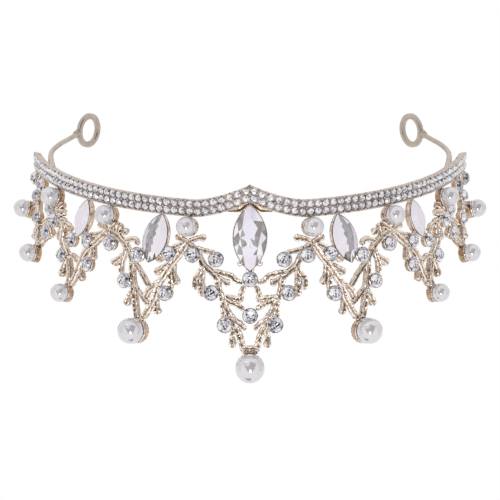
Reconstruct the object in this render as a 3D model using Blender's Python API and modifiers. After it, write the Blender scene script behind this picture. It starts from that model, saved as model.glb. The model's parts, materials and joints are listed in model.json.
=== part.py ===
"""Bridal tiara: a two-row pave band, seven cast sprays that carry pearls and crystals, and two end arms.

Units are metres, +Z is up and the front faces -Y.  The origin is the middle of the head space, at the band's
mid height.  The sprays hang below the band and lean outward.  One half is modelled on +X and mirrored to -X.
"""

import math

import bmesh
import bpy
import numpy as np
from mathutils import Matrix, Vector

MM = 0.001
WELD = 0.001 * MM
SHARP_ANGLE = math.radians(35.0)

# Head oval, on the front face of the band
OVAL_HALF_WIDTH = 65.0 * MM
OVAL_HALF_DEPTH = 73.0 * MM
OVAL_SAMPLES = 2001

# Band
BAND_HEIGHT = 5.0 * MM
BAND_THICKNESS = 1.8 * MM
BAND_HALF_ARC = 93.6 * MM
PEAK_RISE = 4.7 * MM
PEAK_HALF_ARC = 16.0 * MM
PEAK_POWER = 1.6
RIM_WIDTH = 0.4 * MM
RIM_PROUD = 0.3 * MM
END_TURNS = (0.5, 0.85)

# Pave stones in the band
STONE_PITCH = 2.25 * MM
STONE_DIAMETER = 2.0 * MM
STONE_ROW_SPACING = 2.1 * MM
STONE_PROUD = 0.55 * MM
STONE_SUNK = 0.1 * MM
STONE_SIDES = 6
COLUMNS_PER_SEGMENT = 3

# Branch sprays; their places are counted in lattice units
LATTICE_UNIT = 1.0 * MM
FLARE = math.radians(14.0)
SPRAY_INSET = 0.7 * MM
SOLDER_GAP = 0.3 * MM
BRANCH_WIDTH = 1.4 * MM
TWIG_WIDTH = 1.15 * MM
BRANCH_DEPTH = 1.7 * MM
TWIG_DEPTH = 1.3 * MM
BRANCH_FACE_SHARE = 0.7
TWIG_FACE_SHARE = 0.0
TWIG_BUD = 1.2
FIRST_KNOT = 17.0 * MM
KNOT_PITCH = 25.3 * MM
KNOT_DROP = 7.2 * MM
KNOT_DIAMETER = 2.7 * MM
KNOT_DEPTH = 2.1 * MM
COLLAR_WIDTH = 3.2 * MM
CENTRE_DROP = 37.2 * MM
INNER_DROP = 29.8 * MM
OUTER_DROP = 25.35 * MM
END_DROP = 18.95 * MM
CLASP_WIDTH = 1.3 * MM
CLASP_DEPTH = 2.2 * MM
CLASP_LIFT = 0.4 * MM

# Pearls, half drilled and glued on pegs
BAND_PEARL = 5.5 * MM
CENTRE_PEARL = 8.0 * MM
INNER_PEARL = 7.2 * MM
OUTER_PEARL = 5.2 * MM
DISH_SHARE = 0.87
DISH_WALL = 0.28 * MM
SETTING_BACK = 0.95 * MM
PEG_DIAMETER = 1.0 * MM
GLUE_GAP = 0.1 * MM

# Round crystals
CRYSTAL_DIAMETER = 4.0 * MM
CRYSTAL_TABLE_SHARE = 0.58
CRYSTAL_CROWN = 0.95 * MM
CRYSTAL_PAVILION = 1.4 * MM
CRYSTAL_SEAT = 0.95 * MM
CUP_LIP = 0.1 * MM

# Navette crystals
CENTRE_NAVETTE_LENGTH = 18.0 * MM
CENTRE_NAVETTE_WIDTH = 9.0 * MM
INNER_NAVETTE_LENGTH = 14.0 * MM
INNER_NAVETTE_WIDTH = 7.0 * MM
OUTER_NAVETTE_LENGTH = 11.0 * MM
OUTER_NAVETTE_WIDTH = 5.5 * MM
INNER_TURN = math.radians(12.0)
OUTER_TURN = math.radians(9.0)
NAVETTE_CROWN = 1.3 * MM
NAVETTE_PAVILION = 1.1 * MM
NAVETTE_SEAT = 1.2 * MM
NAVETTE_TABLE_SHARE = 0.6
NAVETTE_KEEL_SHARE = 0.45
NAVETTE_BACK = 0.75 * MM
NAVETTE_BACK_SHARE = 0.78
NAVETTE_RIM_SHARE = 0.78
NAVETTE_WALL = 0.35 * MM
CLAW_DIAMETER = 0.8 * MM
CLAW_ABOVE_SEAT = 0.5 * MM
CLAW_REACH = 0.76

# End arms; places are an arc length round the oval and a distance inside it, in lattice units
ARM_DIAMETER = 1.5 * MM
ARM_ROOT = 80.0 * MM
ARM_PAD_LENGTH = 6.0 * MM
EYE_HOLE = 7.2 * MM
EYE_RING_WIDTH = 1.7 * MM
EYE_THICKNESS = 1.6 * MM
EYE_PLACE = (134.5, 11.45)
EYE_TURN = math.radians(35.0)
ARM_BENDS = ((98.9, 5.2), (110.7, 7.0), (120.3, 9.0))

# Facet counts
LARGE_PEARL_STEPS = 10
SMALL_PEARL_STEPS = 8
PEARL_RINGS = 5
CUP_STEPS = 8
PEG_STEPS = 6
EYE_STEPS = 16
NAVETTE_SIDE_POINTS = 5

CHAMPAGNE_GOLD = ("champagne_gold", (0.78, 0.63, 0.47, 1.0), 0.22, 1.0)
ARM_METAL = ("arm_metal", (0.62, 0.54, 0.46, 1.0), 0.32, 1.0)
PEARL_WHITE = ("pearl_white", (0.86, 0.84, 0.88, 1.0), 0.18, 0.0)
CLEAR_CRYSTAL = ("clear_crystal", (0.90, 0.89, 0.95, 1.0), 0.03, 0.0)


def clear_scene():
    """Removes what the startup scene holds."""
    for found in list(bpy.data.objects):
        bpy.data.objects.remove(found, do_unlink=True)


def new_collection(name):
    """A new collection under the scene's own."""
    made = bpy.data.collections.new(name)
    bpy.context.scene.collection.children.link(made)
    return made


def new_helper(name, data):
    """An object that only shapes a part: never rendered, and drawn as wires."""
    helper = bpy.data.objects.new(name, data)
    helper.hide_render = True
    helper.display_type = "WIRE"
    return helper


def finish_material(finish):
    """The Principled material of a finish: name, colour, roughness and metallic value."""
    name, colour, roughness, metallic = finish
    material = bpy.data.materials.get(name)
    if material:
        return material
    material = bpy.data.materials.new(name)
    material.use_nodes = True
    shader = material.node_tree.nodes["Principled BSDF"]
    shader.inputs["Base Color"].default_value = colour
    shader.inputs["Roughness"].default_value = roughness
    shader.inputs["Metallic"].default_value = metallic
    material.diffuse_color = colour
    return material


# Places on the head oval and on the leaning lattice below it


def oval_table():
    """Angles round the oval and the arc length from its front to each."""
    angles = np.linspace(0.0, math.pi, OVAL_SAMPLES)
    speed = np.hypot(OVAL_HALF_WIDTH * np.cos(angles), OVAL_HALF_DEPTH * np.sin(angles))
    steps = (speed[1:] + speed[:-1]) / 2 * np.diff(angles)
    return angles, np.concatenate([[0.0], np.cumsum(steps)])


OVAL_ANGLES, OVAL_ARCS = oval_table()


def oval_at(along):
    """Point, tangent and outward normal on the oval, an arc length from the front; +along is towards +X."""
    side = 1.0 if along >= 0 else -1.0
    angle = float(np.interp(abs(along), OVAL_ARCS, OVAL_ANGLES))
    sine, cosine = side * math.sin(angle), math.cos(angle)
    point = Vector((OVAL_HALF_WIDTH * sine, -OVAL_HALF_DEPTH * cosine, 0.0))
    tangent = Vector((OVAL_HALF_WIDTH * cosine, OVAL_HALF_DEPTH * sine, 0.0)).normalized()
    return point, tangent, Vector((tangent.y, -tangent.x, 0.0))


def inside_oval(along, inset):
    """A point inside the oval, an arc length from the front."""
    point, _, outward = oval_at(along)
    return point - inset * outward


def peak_rise(along):
    """How far the pointed middle of the band stands above its ends."""
    return PEAK_RISE * max(0.0, 1.0 - abs(along) / PEAK_HALF_ARC) ** PEAK_POWER


def lattice_frame(along, drop, lift=0.0):
    """Axes on the lattice: X along the band, Y up the slope and Z out of its face."""
    point, tangent, outward = oval_at(along)
    up = Vector((0.0, 0.0, 1.0))
    slope = math.sin(FLARE) * outward - math.cos(FLARE) * up
    face = math.cos(FLARE) * outward + math.sin(FLARE) * up
    place = point - SPRAY_INSET * outward - BAND_HEIGHT / 2 * up + drop * slope + lift * face
    frame = Matrix((tangent, -slope, face)).transposed().to_4x4()
    frame.translation = place
    return frame


# Mesh makers


def mesh_of(bm):
    """A mesh from a bmesh, with its doubles welded and its faces pointing out."""
    bmesh.ops.remove_doubles(bm, verts=bm.verts, dist=WELD)
    bmesh.ops.dissolve_degenerate(bm, dist=WELD, edges=bm.edges)
    bmesh.ops.recalc_face_normals(bm, faces=bm.faces)
    mesh = bpy.data.meshes.new("shape")
    bm.to_mesh(mesh)
    bm.free()
    return mesh


def evaluated_mesh(maker):
    """The mesh that an object's modifiers or curve settings give; the object is removed."""
    bpy.context.view_layer.update()
    graph = bpy.context.evaluated_depsgraph_get()
    bm = bmesh.new()
    bm.from_mesh(bpy.data.meshes.new_from_object(maker.evaluated_get(graph)))
    bpy.data.objects.remove(maker, do_unlink=True)
    return mesh_of(bm)


def tube(points, diameter, resolution):
    """A wire of even thickness through points."""
    curve = bpy.data.curves.new("wire", "CURVE")
    curve.dimensions = "3D"
    curve.bevel_depth = diameter / 2
    curve.bevel_resolution = resolution
    curve.use_fill_caps = True
    spline = curve.splines.new("POLY")
    spline.points.add(len(points) - 1)
    for knot, point in zip(spline.points, points):
        knot.co = (*point, 1.0)
    maker = new_helper("wire", curve)
    HELPERS.objects.link(maker)
    return evaluated_mesh(maker)


def turned(profile, steps):
    """A solid turned about Z from a profile of (radius, height) points that starts and ends on the axis."""
    bm = bmesh.new()
    line = [bm.verts.new((radius, 0.0, height)) for radius, height in profile]
    for first, second in zip(line, line[1:]):
        bm.edges.new((first, second))
    mesh = bpy.data.meshes.new("profile")
    bm.to_mesh(mesh)
    bm.free()
    maker = new_helper("profile", mesh)
    HELPERS.objects.link(maker)
    screw = maker.modifiers.new("turn", "SCREW")
    screw.steps = steps
    screw.render_steps = steps
    screw.use_merge_vertices = True
    screw.merge_threshold = WELD
    return evaluated_mesh(maker)


def loft(rings):
    """A closed solid through rings of equally many points, with a flat face on its first and last ring."""
    bm = bmesh.new()
    loops = [[bm.verts.new(point) for point in ring] for ring in rings]
    for lower, upper in zip(loops, loops[1:]):
        for i in range(len(lower)):
            j = (i + 1) % len(lower)
            bm.faces.new((lower[i], lower[j], upper[j], upper[i]))
    bm.faces.new(loops[0])
    bm.faces.new(loops[-1])
    return mesh_of(bm)


def turned_ring(section, steps):
    """A ring turned about Z from a closed section of (radius, height) points."""
    rings = []
    for i in range(steps):
        turn = Matrix.Rotation(2 * math.pi * i / steps, 4, "Z")
        rings.append([turn @ Vector((radius, 0.0, height)) for radius, height in section])
    bm = bmesh.new()
    loops = [[bm.verts.new(point) for point in ring] for ring in rings]
    for lower, upper in zip(loops, loops[1:] + loops[:1]):
        for i in range(len(lower)):
            j = (i + 1) % len(lower)
            bm.faces.new((lower[i], lower[j], upper[j], upper[i]))
    return mesh_of(bm)


def cast_bar(frames, widths, depth, face_share):
    """A cast bar through frames: flat behind, its face a share of its width, down to a ridge."""
    middles = [frame.translation for frame in frames]
    rings = []
    for i, frame in enumerate(frames):
        face = frame.col[2].to_3d()
        heading = (middles[min(i + 1, len(frames) - 1)] - middles[max(i - 1, 0)]).normalized()
        side = face.cross(heading).normalized() * widths[i] / 2
        half = face * depth / 2
        middle = middles[i]
        rings.append((
            middle - half - side, middle - half + side,
            middle + half + side * face_share, middle + half - side * face_share,
        ))
    return loft(rings)


def placed(mesh, frame):
    """A copy of a mesh, moved into a frame."""
    copy = mesh.copy()
    copy.transform(frame)
    return copy


def mirrored(mesh):
    """A copy of a mesh on the other side of the middle plane."""
    copy = placed(mesh, Matrix.Scale(-1.0, 4, (1.0, 0.0, 0.0)))
    copy.flip_normals()
    return copy


def combined(body, others, operation):
    """The mesh of a body joined with, or cut by, other closed meshes."""
    group = bpy.data.collections.new("others")
    HELPERS.children.link(group)
    maker = new_helper("body", body)
    HELPERS.objects.link(maker)
    for mesh in others:
        group.objects.link(new_helper("other", mesh))
    boolean = maker.modifiers.new(operation, "BOOLEAN")
    boolean.operation = operation
    boolean.operand_type = "COLLECTION"
    boolean.collection = group
    boolean.solver = "EXACT"
    mesh = evaluated_mesh(maker)
    for other in list(group.objects):
        bpy.data.objects.remove(other, do_unlink=True)
    bpy.data.collections.remove(group)
    return mesh


def fused(meshes):
    """The union of closed meshes that overlap."""
    return combined(meshes[0], meshes[1:], "UNION")


def add_part(name, mesh, finish):
    """A named part with its finish."""
    mesh.name = name
    mesh.materials.clear()
    mesh.materials.append(finish_material(finish))
    mesh.shade_smooth()
    mesh.set_sharp_from_angle(angle=SHARP_ANGLE)
    part = bpy.data.objects.new(name, mesh)
    PARTS.objects.link(part)


def add_pair(name, mesh, finish):
    """A part on +X and its mirror image on -X."""
    add_part(name + "_right", mesh, finish)
    add_part(name + "_left", mirrored(mesh), finish)


# Band


def flat_band():
    """The band as a straight strip: X along it, Y its depth with the face at 0, Z its height."""
    half = BAND_HEIGHT / 2
    section = (
        (-RIM_PROUD, half), (-RIM_PROUD, half - RIM_WIDTH), (0.0, half - RIM_WIDTH - RIM_PROUD),
        (0.0, RIM_WIDTH + RIM_PROUD - half), (-RIM_PROUD, RIM_WIDTH - half), (-RIM_PROUD, -half),
        (BAND_THICKNESS, -half), (BAND_THICKNESS, half),
    )
    pitch = COLUMNS_PER_SEGMENT * STONE_PITCH
    whole = int((BAND_HALF_ARC - half) / pitch)
    stations = [(pitch * i, 1.0) for i in range(-whole, whole + 1)]
    for turn in END_TURNS:
        end = BAND_HALF_ARC - half * (1.0 - math.sin(turn * math.pi / 2))
        size = math.cos(turn * math.pi / 2)
        stations = [(-end, size)] + stations + [(end, size)]
    return loft([[(x, depth, height * size) for depth, height in section] for x, size in stations])


def stone_columns():
    """The places of the stones along one half of the band."""
    count = int((BAND_HALF_ARC - STONE_DIAMETER) / STONE_PITCH)
    return [STONE_PITCH * (i + 0.5) for i in range(count)]


def flat_stones():
    """All pave stones on the straight strip, each a low pointed crown, as one mesh of separate stones."""
    bm = bmesh.new()
    turn = Matrix.Rotation(math.pi / 2, 4, "X")
    for x in stone_columns():
        for sign in (-1.0, 1.0):
            for row in (-0.5, 0.5):
                depth = (STONE_SUNK - STONE_PROUD) / 2
                middle = Matrix.Translation((sign * x, depth, row * STONE_ROW_SPACING))
                bmesh.ops.create_cone(
                    bm, cap_ends=True, segments=STONE_SIDES, radius1=STONE_DIAMETER / 2, radius2=0.0,
                    depth=STONE_PROUD + STONE_SUNK, matrix=middle @ turn,
                )
    return mesh_of(bm)


def build_band():
    """The stone-set band, joined flat and then rolled round the head oval."""
    mesh = fused([flat_band(), flat_stones()])
    for vertex in mesh.vertices:
        along, depth, height = vertex.co
        point, _, outward = oval_at(along)
        vertex.co = point - depth * outward + Vector((0.0, 0.0, height + peak_rise(along)))
    mesh.update()
    add_part("band", mesh, CHAMPAGNE_GOLD)


# Pearls and crystals with their settings


def pearl_profile(diameter):
    """Half section of a pearl whose lowest point is at height 0, with the blind hole for its peg."""
    radius = diameter / 2
    bore = PEG_DIAMETER / 2 + GLUE_GAP
    mouth = math.asin(bore / radius)
    profile = [(0.0, diameter)]
    for i in range(1, PEARL_RINGS + 1):
        angle = (math.pi - mouth) * i / PEARL_RINGS
        profile.append((radius * math.sin(angle), radius + radius * math.cos(angle)))
    return profile + [(bore, radius), (0.0, radius)]


def pearl_cup_profile(diameter):
    """Half section of a pearl's cup, before the pearl's dish is cut."""
    radius = diameter / 2
    rim = radius - math.sqrt(radius ** 2 - (radius * DISH_SHARE) ** 2)
    outer = pearl_cup_radius(diameter)
    return [(0.0, rim), (outer, rim), (outer, -SETTING_BACK), (0.0, -SETTING_BACK)]


def pearl_room_profile(diameter):
    """Half section of the room that a pearl takes in its cup: the pearl, grown by the glue gap."""
    middle = diameter / 2
    grown = 1.0 + GLUE_GAP / middle
    outside = pearl_profile(diameter)[:-2]
    profile = [(radius * grown, middle + (height - middle) * grown) for radius, height in outside]
    return profile + [(0.0, profile[-1][1])]


def peg_profile(diameter):
    """Half section of the peg that reaches from a pearl's cup into its blind hole."""
    peg = PEG_DIAMETER / 2
    top = diameter / 2 - GLUE_GAP
    foot = -SETTING_BACK / 2
    return [(0.0, top), (peg, top), (peg, foot), (0.0, foot)]


def pearl_steps(diameter):
    """The number of facets round a pearl and its cup."""
    return LARGE_PEARL_STEPS if diameter >= INNER_PEARL else SMALL_PEARL_STEPS


def pearl_cup_radius(diameter):
    """Outer radius of a pearl's cup."""
    return diameter / 2 * DISH_SHARE + DISH_WALL


def crystal_profile():
    """Half section of a round crystal with its culet down; the girdle is at CRYSTAL_SEAT."""
    radius = CRYSTAL_DIAMETER / 2
    return [
        (0.0, CRYSTAL_SEAT + CRYSTAL_CROWN), (radius * CRYSTAL_TABLE_SHARE, CRYSTAL_SEAT + CRYSTAL_CROWN),
        (radius, CRYSTAL_SEAT), (0.0, CRYSTAL_SEAT - CRYSTAL_PAVILION),
    ]


def crystal_cup_profile():
    """Half section of a round crystal's cup, before the crystal's seat is cut."""
    outer = CRYSTAL_DIAMETER / 2 + CUP_LIP
    return [(0.0, CRYSTAL_SEAT), (outer, CRYSTAL_SEAT), (outer, -SETTING_BACK), (0.0, -SETTING_BACK)]


def crystal_room_profile():
    """Half section of the room that a round crystal takes in its cup."""
    radius = CRYSTAL_DIAMETER / 2 + CUP_LIP + GLUE_GAP
    slope = CRYSTAL_PAVILION / (CRYSTAL_DIAMETER / 2)
    bottom = CRYSTAL_SEAT - CRYSTAL_PAVILION - GLUE_GAP * math.hypot(1.0, slope)
    top = CRYSTAL_SEAT + CRYSTAL_CROWN
    return [(0.0, top), (radius, top), (radius, bottom + slope * radius), (0.0, bottom)]


def set_crystal_profile():
    """Half section of a crystal that is one with its cup."""
    return crystal_profile()[:-1] + [(CRYSTAL_DIAMETER / 2, -SETTING_BACK), (0.0, -SETTING_BACK)]


def navette_ring(size, share, height, widen=0.0):
    """A pointed oval of two arcs, scaled by share and widened all round."""
    half_length = size[0] / 2 * share + widen
    half_width = size[1] / 2 * share + widen
    arc = (half_length ** 2 + half_width ** 2) / (2 * half_width)
    steps = NAVETTE_SIDE_POINTS + 1
    ring = []
    for side in (1.0, -1.0):
        for i in range(steps):
            y = side * half_length * math.cos(math.pi * i / steps)
            x = side * (math.sqrt(arc ** 2 - y ** 2) - (arc - half_width))
            ring.append((x, y, height))
    return ring


def navette_crystal(size):
    """A navette crystal: table, crown, girdle and keel."""
    return loft([
        navette_ring(size, NAVETTE_KEEL_SHARE, NAVETTE_SEAT - NAVETTE_PAVILION),
        navette_ring(size, 1.0, NAVETTE_SEAT),
        navette_ring(size, NAVETTE_TABLE_SHARE, NAVETTE_SEAT + NAVETTE_CROWN),
    ])


def navette_boat(size):
    """The boat-shaped setting of a navette crystal, before the crystal's seat is cut."""
    rim_share = NAVETTE_KEEL_SHARE + (1.0 - NAVETTE_KEEL_SHARE) * NAVETTE_RIM_SHARE
    rim = NAVETTE_SEAT - NAVETTE_PAVILION * (1.0 - NAVETTE_RIM_SHARE)
    return loft([
        navette_ring(size, NAVETTE_BACK_SHARE, -NAVETTE_BACK, NAVETTE_WALL),
        navette_ring(size, rim_share, rim, GLUE_GAP + NAVETTE_WALL),
        navette_ring(size, NAVETTE_KEEL_SHARE, rim),
    ])


def navette_room(size):
    """The room that a navette crystal takes in its setting: its keel and girdle, grown by the glue gap."""
    return loft([
        navette_ring(size, NAVETTE_KEEL_SHARE, NAVETTE_SEAT - NAVETTE_PAVILION - GLUE_GAP, GLUE_GAP),
        navette_ring(size, 1.0, NAVETTE_SEAT - GLUE_GAP, GLUE_GAP),
        navette_ring(size, 1.0, NAVETTE_SEAT + NAVETTE_CROWN, GLUE_GAP),
    ])


def claw(size, reach, side, frame):
    """One claw that rises from the setting's wall to just over the girdle."""
    half_length, half_width = size[0] / 2, size[1] / 2
    arc = (half_length ** 2 + half_width ** 2) / (2 * half_width)
    y = reach * half_length
    x = math.sqrt(arc ** 2 - y ** 2) - (arc - half_width)
    normal = Vector((side * (x + arc - half_width), y, 0.0)).normalized()
    edge = Vector((side * x, y, 0.0))
    outside = edge + (CLAW_DIAMETER / 2 + 2 * GLUE_GAP) * normal
    inside = edge * NAVETTE_KEEL_SHARE
    keel = Vector((0.0, 0.0, -NAVETTE_BACK + CLAW_DIAMETER / 2))
    waist = Vector((0.0, 0.0, NAVETTE_SEAT - CLAW_ABOVE_SEAT))
    top = Vector((0.0, 0.0, NAVETTE_SEAT + CLAW_ABOVE_SEAT))
    points = [frame @ (inside + keel), frame @ (outside + waist), frame @ (outside + top)]
    return tube(points, CLAW_DIAMETER, resolution=0)


# Sprays


class Spray:
    """One cast spray: branches, knots and settings in places on the lattice, measured from its own start.

    Places are (along, drop) in lattice units: along the band from the start, and down from its lower edge.
    """

    def __init__(self, start):
        self.start = start
        self.pieces = []
        self.rooms = []
        self.pegs = []

    def frame(self, place, lift=0.0, turn=0.0):
        """Axes at a place of this spray."""
        along, drop = place
        frame = lattice_frame(self.start + along * LATTICE_UNIT, drop * LATTICE_UNIT, lift)
        return frame @ Matrix.Rotation(turn, 4, "Z")

    def bar(self, places, first_width, last_width, depth, face_share, lift=0.0):
        """A cast bar through places, tapering evenly."""
        last = len(places) - 1
        widths = [first_width + (last_width - first_width) * i / last for i in range(last + 1)]
        self.pieces.append(cast_bar([self.frame(place, lift) for place in places], widths, depth, face_share))

    def branch(self, *places):
        """A main branch of even thickness."""
        self.bar(places, BRANCH_WIDTH, BRANCH_WIDTH, BRANCH_DEPTH, BRANCH_FACE_SHARE)

    def twig(self, *places):
        """A twig that ends in a small bud."""
        self.bar(places, TWIG_WIDTH, TWIG_WIDTH * TWIG_BUD, TWIG_DEPTH, TWIG_FACE_SHARE)

    def tie(self, *places):
        """A thin bar of even thickness, as deep as a branch."""
        self.bar(places, TWIG_WIDTH, TWIG_WIDTH, BRANCH_DEPTH, BRANCH_FACE_SHARE)

    def collar(self, *places):
        """The thick stem above a tip pearl's cup."""
        self.bar(places, COLLAR_WIDTH, COLLAR_WIDTH, KNOT_DEPTH, BRANCH_FACE_SHARE)

    def clasp(self, *places):
        """The roof-shaped clasp over a navette's upper point, which stands forward of the twigs."""
        self.bar(places, CLASP_WIDTH, CLASP_WIDTH, CLASP_DEPTH, BRANCH_FACE_SHARE, CLASP_LIFT)

    def knot(self, place):
        """The lump where two branches cross."""
        half = KNOT_DEPTH / 2
        radius = KNOT_DIAMETER / 2
        profile = [(0.0, half), (radius, half), (radius, -half), (0.0, -half)]
        self.pieces.append(placed(turned(profile, CUP_STEPS), self.frame(place)))

    def pearl_cup(self, place, diameter):
        """A pearl's cup and peg; gives the pearl's mesh."""
        frame = self.frame(place)
        steps = pearl_steps(diameter)
        self.pieces.append(placed(turned(pearl_cup_profile(diameter), steps), frame))
        self.rooms.append(placed(turned(pearl_room_profile(diameter), steps), frame))
        self.pegs.append(placed(turned(peg_profile(diameter), PEG_STEPS), frame))
        return placed(turned(pearl_profile(diameter), steps), frame)

    def crystal_cup(self, place):
        """A round crystal's cup; gives the crystal's mesh."""
        frame = self.frame(place)
        self.pieces.append(placed(turned(crystal_cup_profile(), CUP_STEPS), frame))
        self.rooms.append(placed(turned(crystal_room_profile(), CUP_STEPS), frame))
        return placed(turned(crystal_profile(), CUP_STEPS), frame)

    def set_crystal(self, place):
        """A round crystal that is one with its cup."""
        self.pieces.append(placed(turned(set_crystal_profile(), CUP_STEPS), self.frame(place)))

    def navette(self, place, size, turn=0.0, clawed=False):
        """A navette's setting, with two lower claws where asked; gives the crystal's mesh."""
        frame = self.frame(place, turn=turn)
        self.pieces.append(placed(navette_boat(size), frame))
        if clawed:
            self.pieces += [claw(size, -CLAW_REACH, side, frame) for side in (-1.0, 1.0)]
        self.rooms.append(placed(navette_room(size), frame))
        return placed(navette_crystal(size), frame)

    def casting(self):
        """The whole spray: its pieces fused, every seat cut, and the pegs set."""
        seated = combined(fused(self.pieces), self.rooms, "DIFFERENCE")
        return fused([seated] + self.pegs)


def units(length):
    """A length in lattice units."""
    return length / LATTICE_UNIT


def knot_offset(along, drop):
    """A place relative to a spray's own knot, which is at its start."""
    return (along, units(KNOT_DROP) + drop)


def far_offset(along, drop):
    """A place relative to the next spray's knot."""
    return (units(KNOT_PITCH) + along, units(KNOT_DROP) + drop)


def solder_start(knot, towards):
    """The place where a neighbour's branch ends, one solder gap short of a knot."""
    step = Vector(towards) - Vector(knot)
    clear = units(KNOT_DIAMETER / 2 + SOLDER_GAP)
    return tuple(Vector(knot) + step.normalized() * clear)


def band_pearl_place(along):
    """A pearl's place whose cup meets the band's lower edge, one solder gap short."""
    return (along, units(pearl_cup_radius(BAND_PEARL) + SOLDER_GAP))


def tip_place(along, drop, diameter):
    """A tip pearl's place: drop is where its cup's upper edge meets the collar."""
    return (along, units(drop + pearl_cup_radius(diameter)))


def build_centre_spray():
    """The middle spray: two mirrored branches that meet over the largest pearl, and the large navette."""
    spray = Spray(0.0)
    crystals = []
    knot = (units(FIRST_KNOT), units(KNOT_DROP))
    low = units(CENTRE_DROP)
    shoulder, fork, waist, hip, ankle = (13.1, 11.4), (10.0, 15.1), (8.0, 20.4), (5.4, 26.1), (1.6, low - 1.2)
    for side in (1.0, -1.0):
        def across(*places):
            return [(side * along, drop) for along, drop in places]
        spray.branch(*across(solder_start(knot, shoulder), shoulder, fork, waist, hip, ankle))
        spray.twig(*across((14.6, 9.2), (12.0, 9.3), (9.5, 10.1)))
        spray.twig(*across(fork, (5.0, 15.8), (1.7, 17.6)))
        spray.twig(*across(fork, (5.2, 18.2)))
        spray.twig(*across((12.4, 12.4), (14.2, 16.7), (14.0, 20.2)))
        spray.twig(*across((12.3, 12.6), (12.5, 16.7), (12.3, 21.9)))
        spray.twig(*across((7.6, 21.2), (2.2, 22.4), (1.7, 18.6)))
        spray.twig(*across((7.2, 22.1), (1.2, 25.4)))
        spray.twig(*across((5.6, 25.4), (2.8, 28.6), (1.0, 30.6)))
        spray.twig(*across((7.0, 22.6), (6.7, 27.9)))
        spray.twig(*across((3.6, 30.6), (4.3, 32.5), (4.2, 35.6)))
        for place in across((15.4, 10.6), (9.0, 11.5), (9.9, 20.7), (6.2, 29.4)):
            crystals.append(spray.crystal_cup(place))
    for place in ((0.0, 16.7), (0.0, 26.7)):
        crystals.append(spray.crystal_cup(place))
    spray.collar((2.1, low - 1.0), (-2.1, low - 1.0))
    pearl = spray.pearl_cup(tip_place(0.0, CENTRE_DROP, CENTRE_PEARL), CENTRE_PEARL)
    navette = spray.navette((0.0, 5.35), (CENTRE_NAVETTE_LENGTH, CENTRE_NAVETTE_WIDTH), clawed=True)
    spray.twig((0.0, 10.5), (0.0, 16.0))
    spray.tie((5.6, -1.55), (-5.6, -1.55))
    spray.clasp((3.1, -1.8), (0.0, -3.5), (-3.1, -1.8))
    add_part("spray_centre", spray.casting(), CHAMPAGNE_GOLD)
    add_part("pearl_tip_centre", pearl, PEARL_WHITE)
    add_part("navette_centre", navette, CLEAR_CRYSTAL)
    for number, mesh in enumerate(crystals, 1):
        add_part(f"crystal_centre_{number}", mesh, CLEAR_CRYSTAL)


def build_inner_sprays():
    """The sprays beside the middle one, each with a medium navette."""
    spray = Spray(FIRST_KNOT)
    knot = knot_offset(0.0, 0.0)
    spray.knot(knot)
    band_pearl = spray.pearl_cup(band_pearl_place(0.0), BAND_PEARL)
    spray.twig(band_pearl_place(0.0), knot)
    spray.twig(knot, knot_offset(-2.4, -1.3), knot_offset(-5.1, -1.4))
    spray.twig(knot, knot_offset(3.5, -1.6))
    spray.twig(knot, knot_offset(4.4, 2.2))
    far_bend, elbow, fork, low_fork = (21.6, 8.3), (18.6, 10.4), (15.8, 15.0), (14.5, 21.0)
    far_end = solder_start(far_offset(0.0, 0.0), far_bend)
    low = units(INNER_DROP)
    spray.branch(far_end, far_bend, elbow, fork, low_fork, (12.3, low - 0.2))
    spray.branch(knot, (2.3, 11.1), (4.5, 14.4), (8.2, 19.9), (10.7, 24.0))
    spray.branch((5.4, 16.2), (7.8, 21.5), (10.3, low - 1.0))
    spray.twig(elbow, (18.8, 13.0), (19.6, 18.0))
    spray.twig((18.8, 12.8), (22.5, 16.3))
    spray.twig((19.2, 9.8), (16.4, 8.3), (14.7, 9.6))
    spray.twig(far_bend, (18.7, 6.7))
    spray.twig(fork, (9.9, 20.6))
    spray.twig((14.7, 20.0), (12.0, 23.2), (10.0, 25.3))
    spray.twig(low_fork, (15.5, 24.3), (16.1, 27.0))
    spray.twig((4.4, 13.3), (8.6, 16.8))
    spray.twig((3.6, 12.8), (3.3, 16.2), (2.1, 19.2))
    spray.twig((4.4, 14.2), (3.8, 22.6))
    spray.twig((7.9, 21.6), (6.8, 28.0))
    crystals = [spray.crystal_cup(place) for place in ((14.3, 12.3), (5.0, 10.8), (17.3, 20.0), (5.1, 21.8))]
    crystals.append(spray.crystal_cup(far_offset(-1.6, 3.4)))
    spray.twig((22.2, 8.0), far_offset(-1.6, 3.4))
    navette = spray.navette((9.1, 7.0), (INNER_NAVETTE_LENGTH, INNER_NAVETTE_WIDTH), INNER_TURN)
    spray.twig((5.0, 10.8), (9.7, 10.6), (14.3, 12.3))
    pearl = spray.pearl_cup(tip_place(12.1, INNER_DROP, INNER_PEARL), INNER_PEARL)
    spray.collar((11.4, low - 1.4), (12.1, low + 0.8))
    add_pair("spray_inner", spray.casting(), CHAMPAGNE_GOLD)
    add_pair("pearl_band_inner", band_pearl, PEARL_WHITE)
    add_pair("pearl_tip_inner", pearl, PEARL_WHITE)
    add_pair("navette_inner", navette, CLEAR_CRYSTAL)
    for number, mesh in enumerate(crystals, 1):
        add_pair(f"crystal_inner_{number}", mesh, CLEAR_CRYSTAL)


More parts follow.
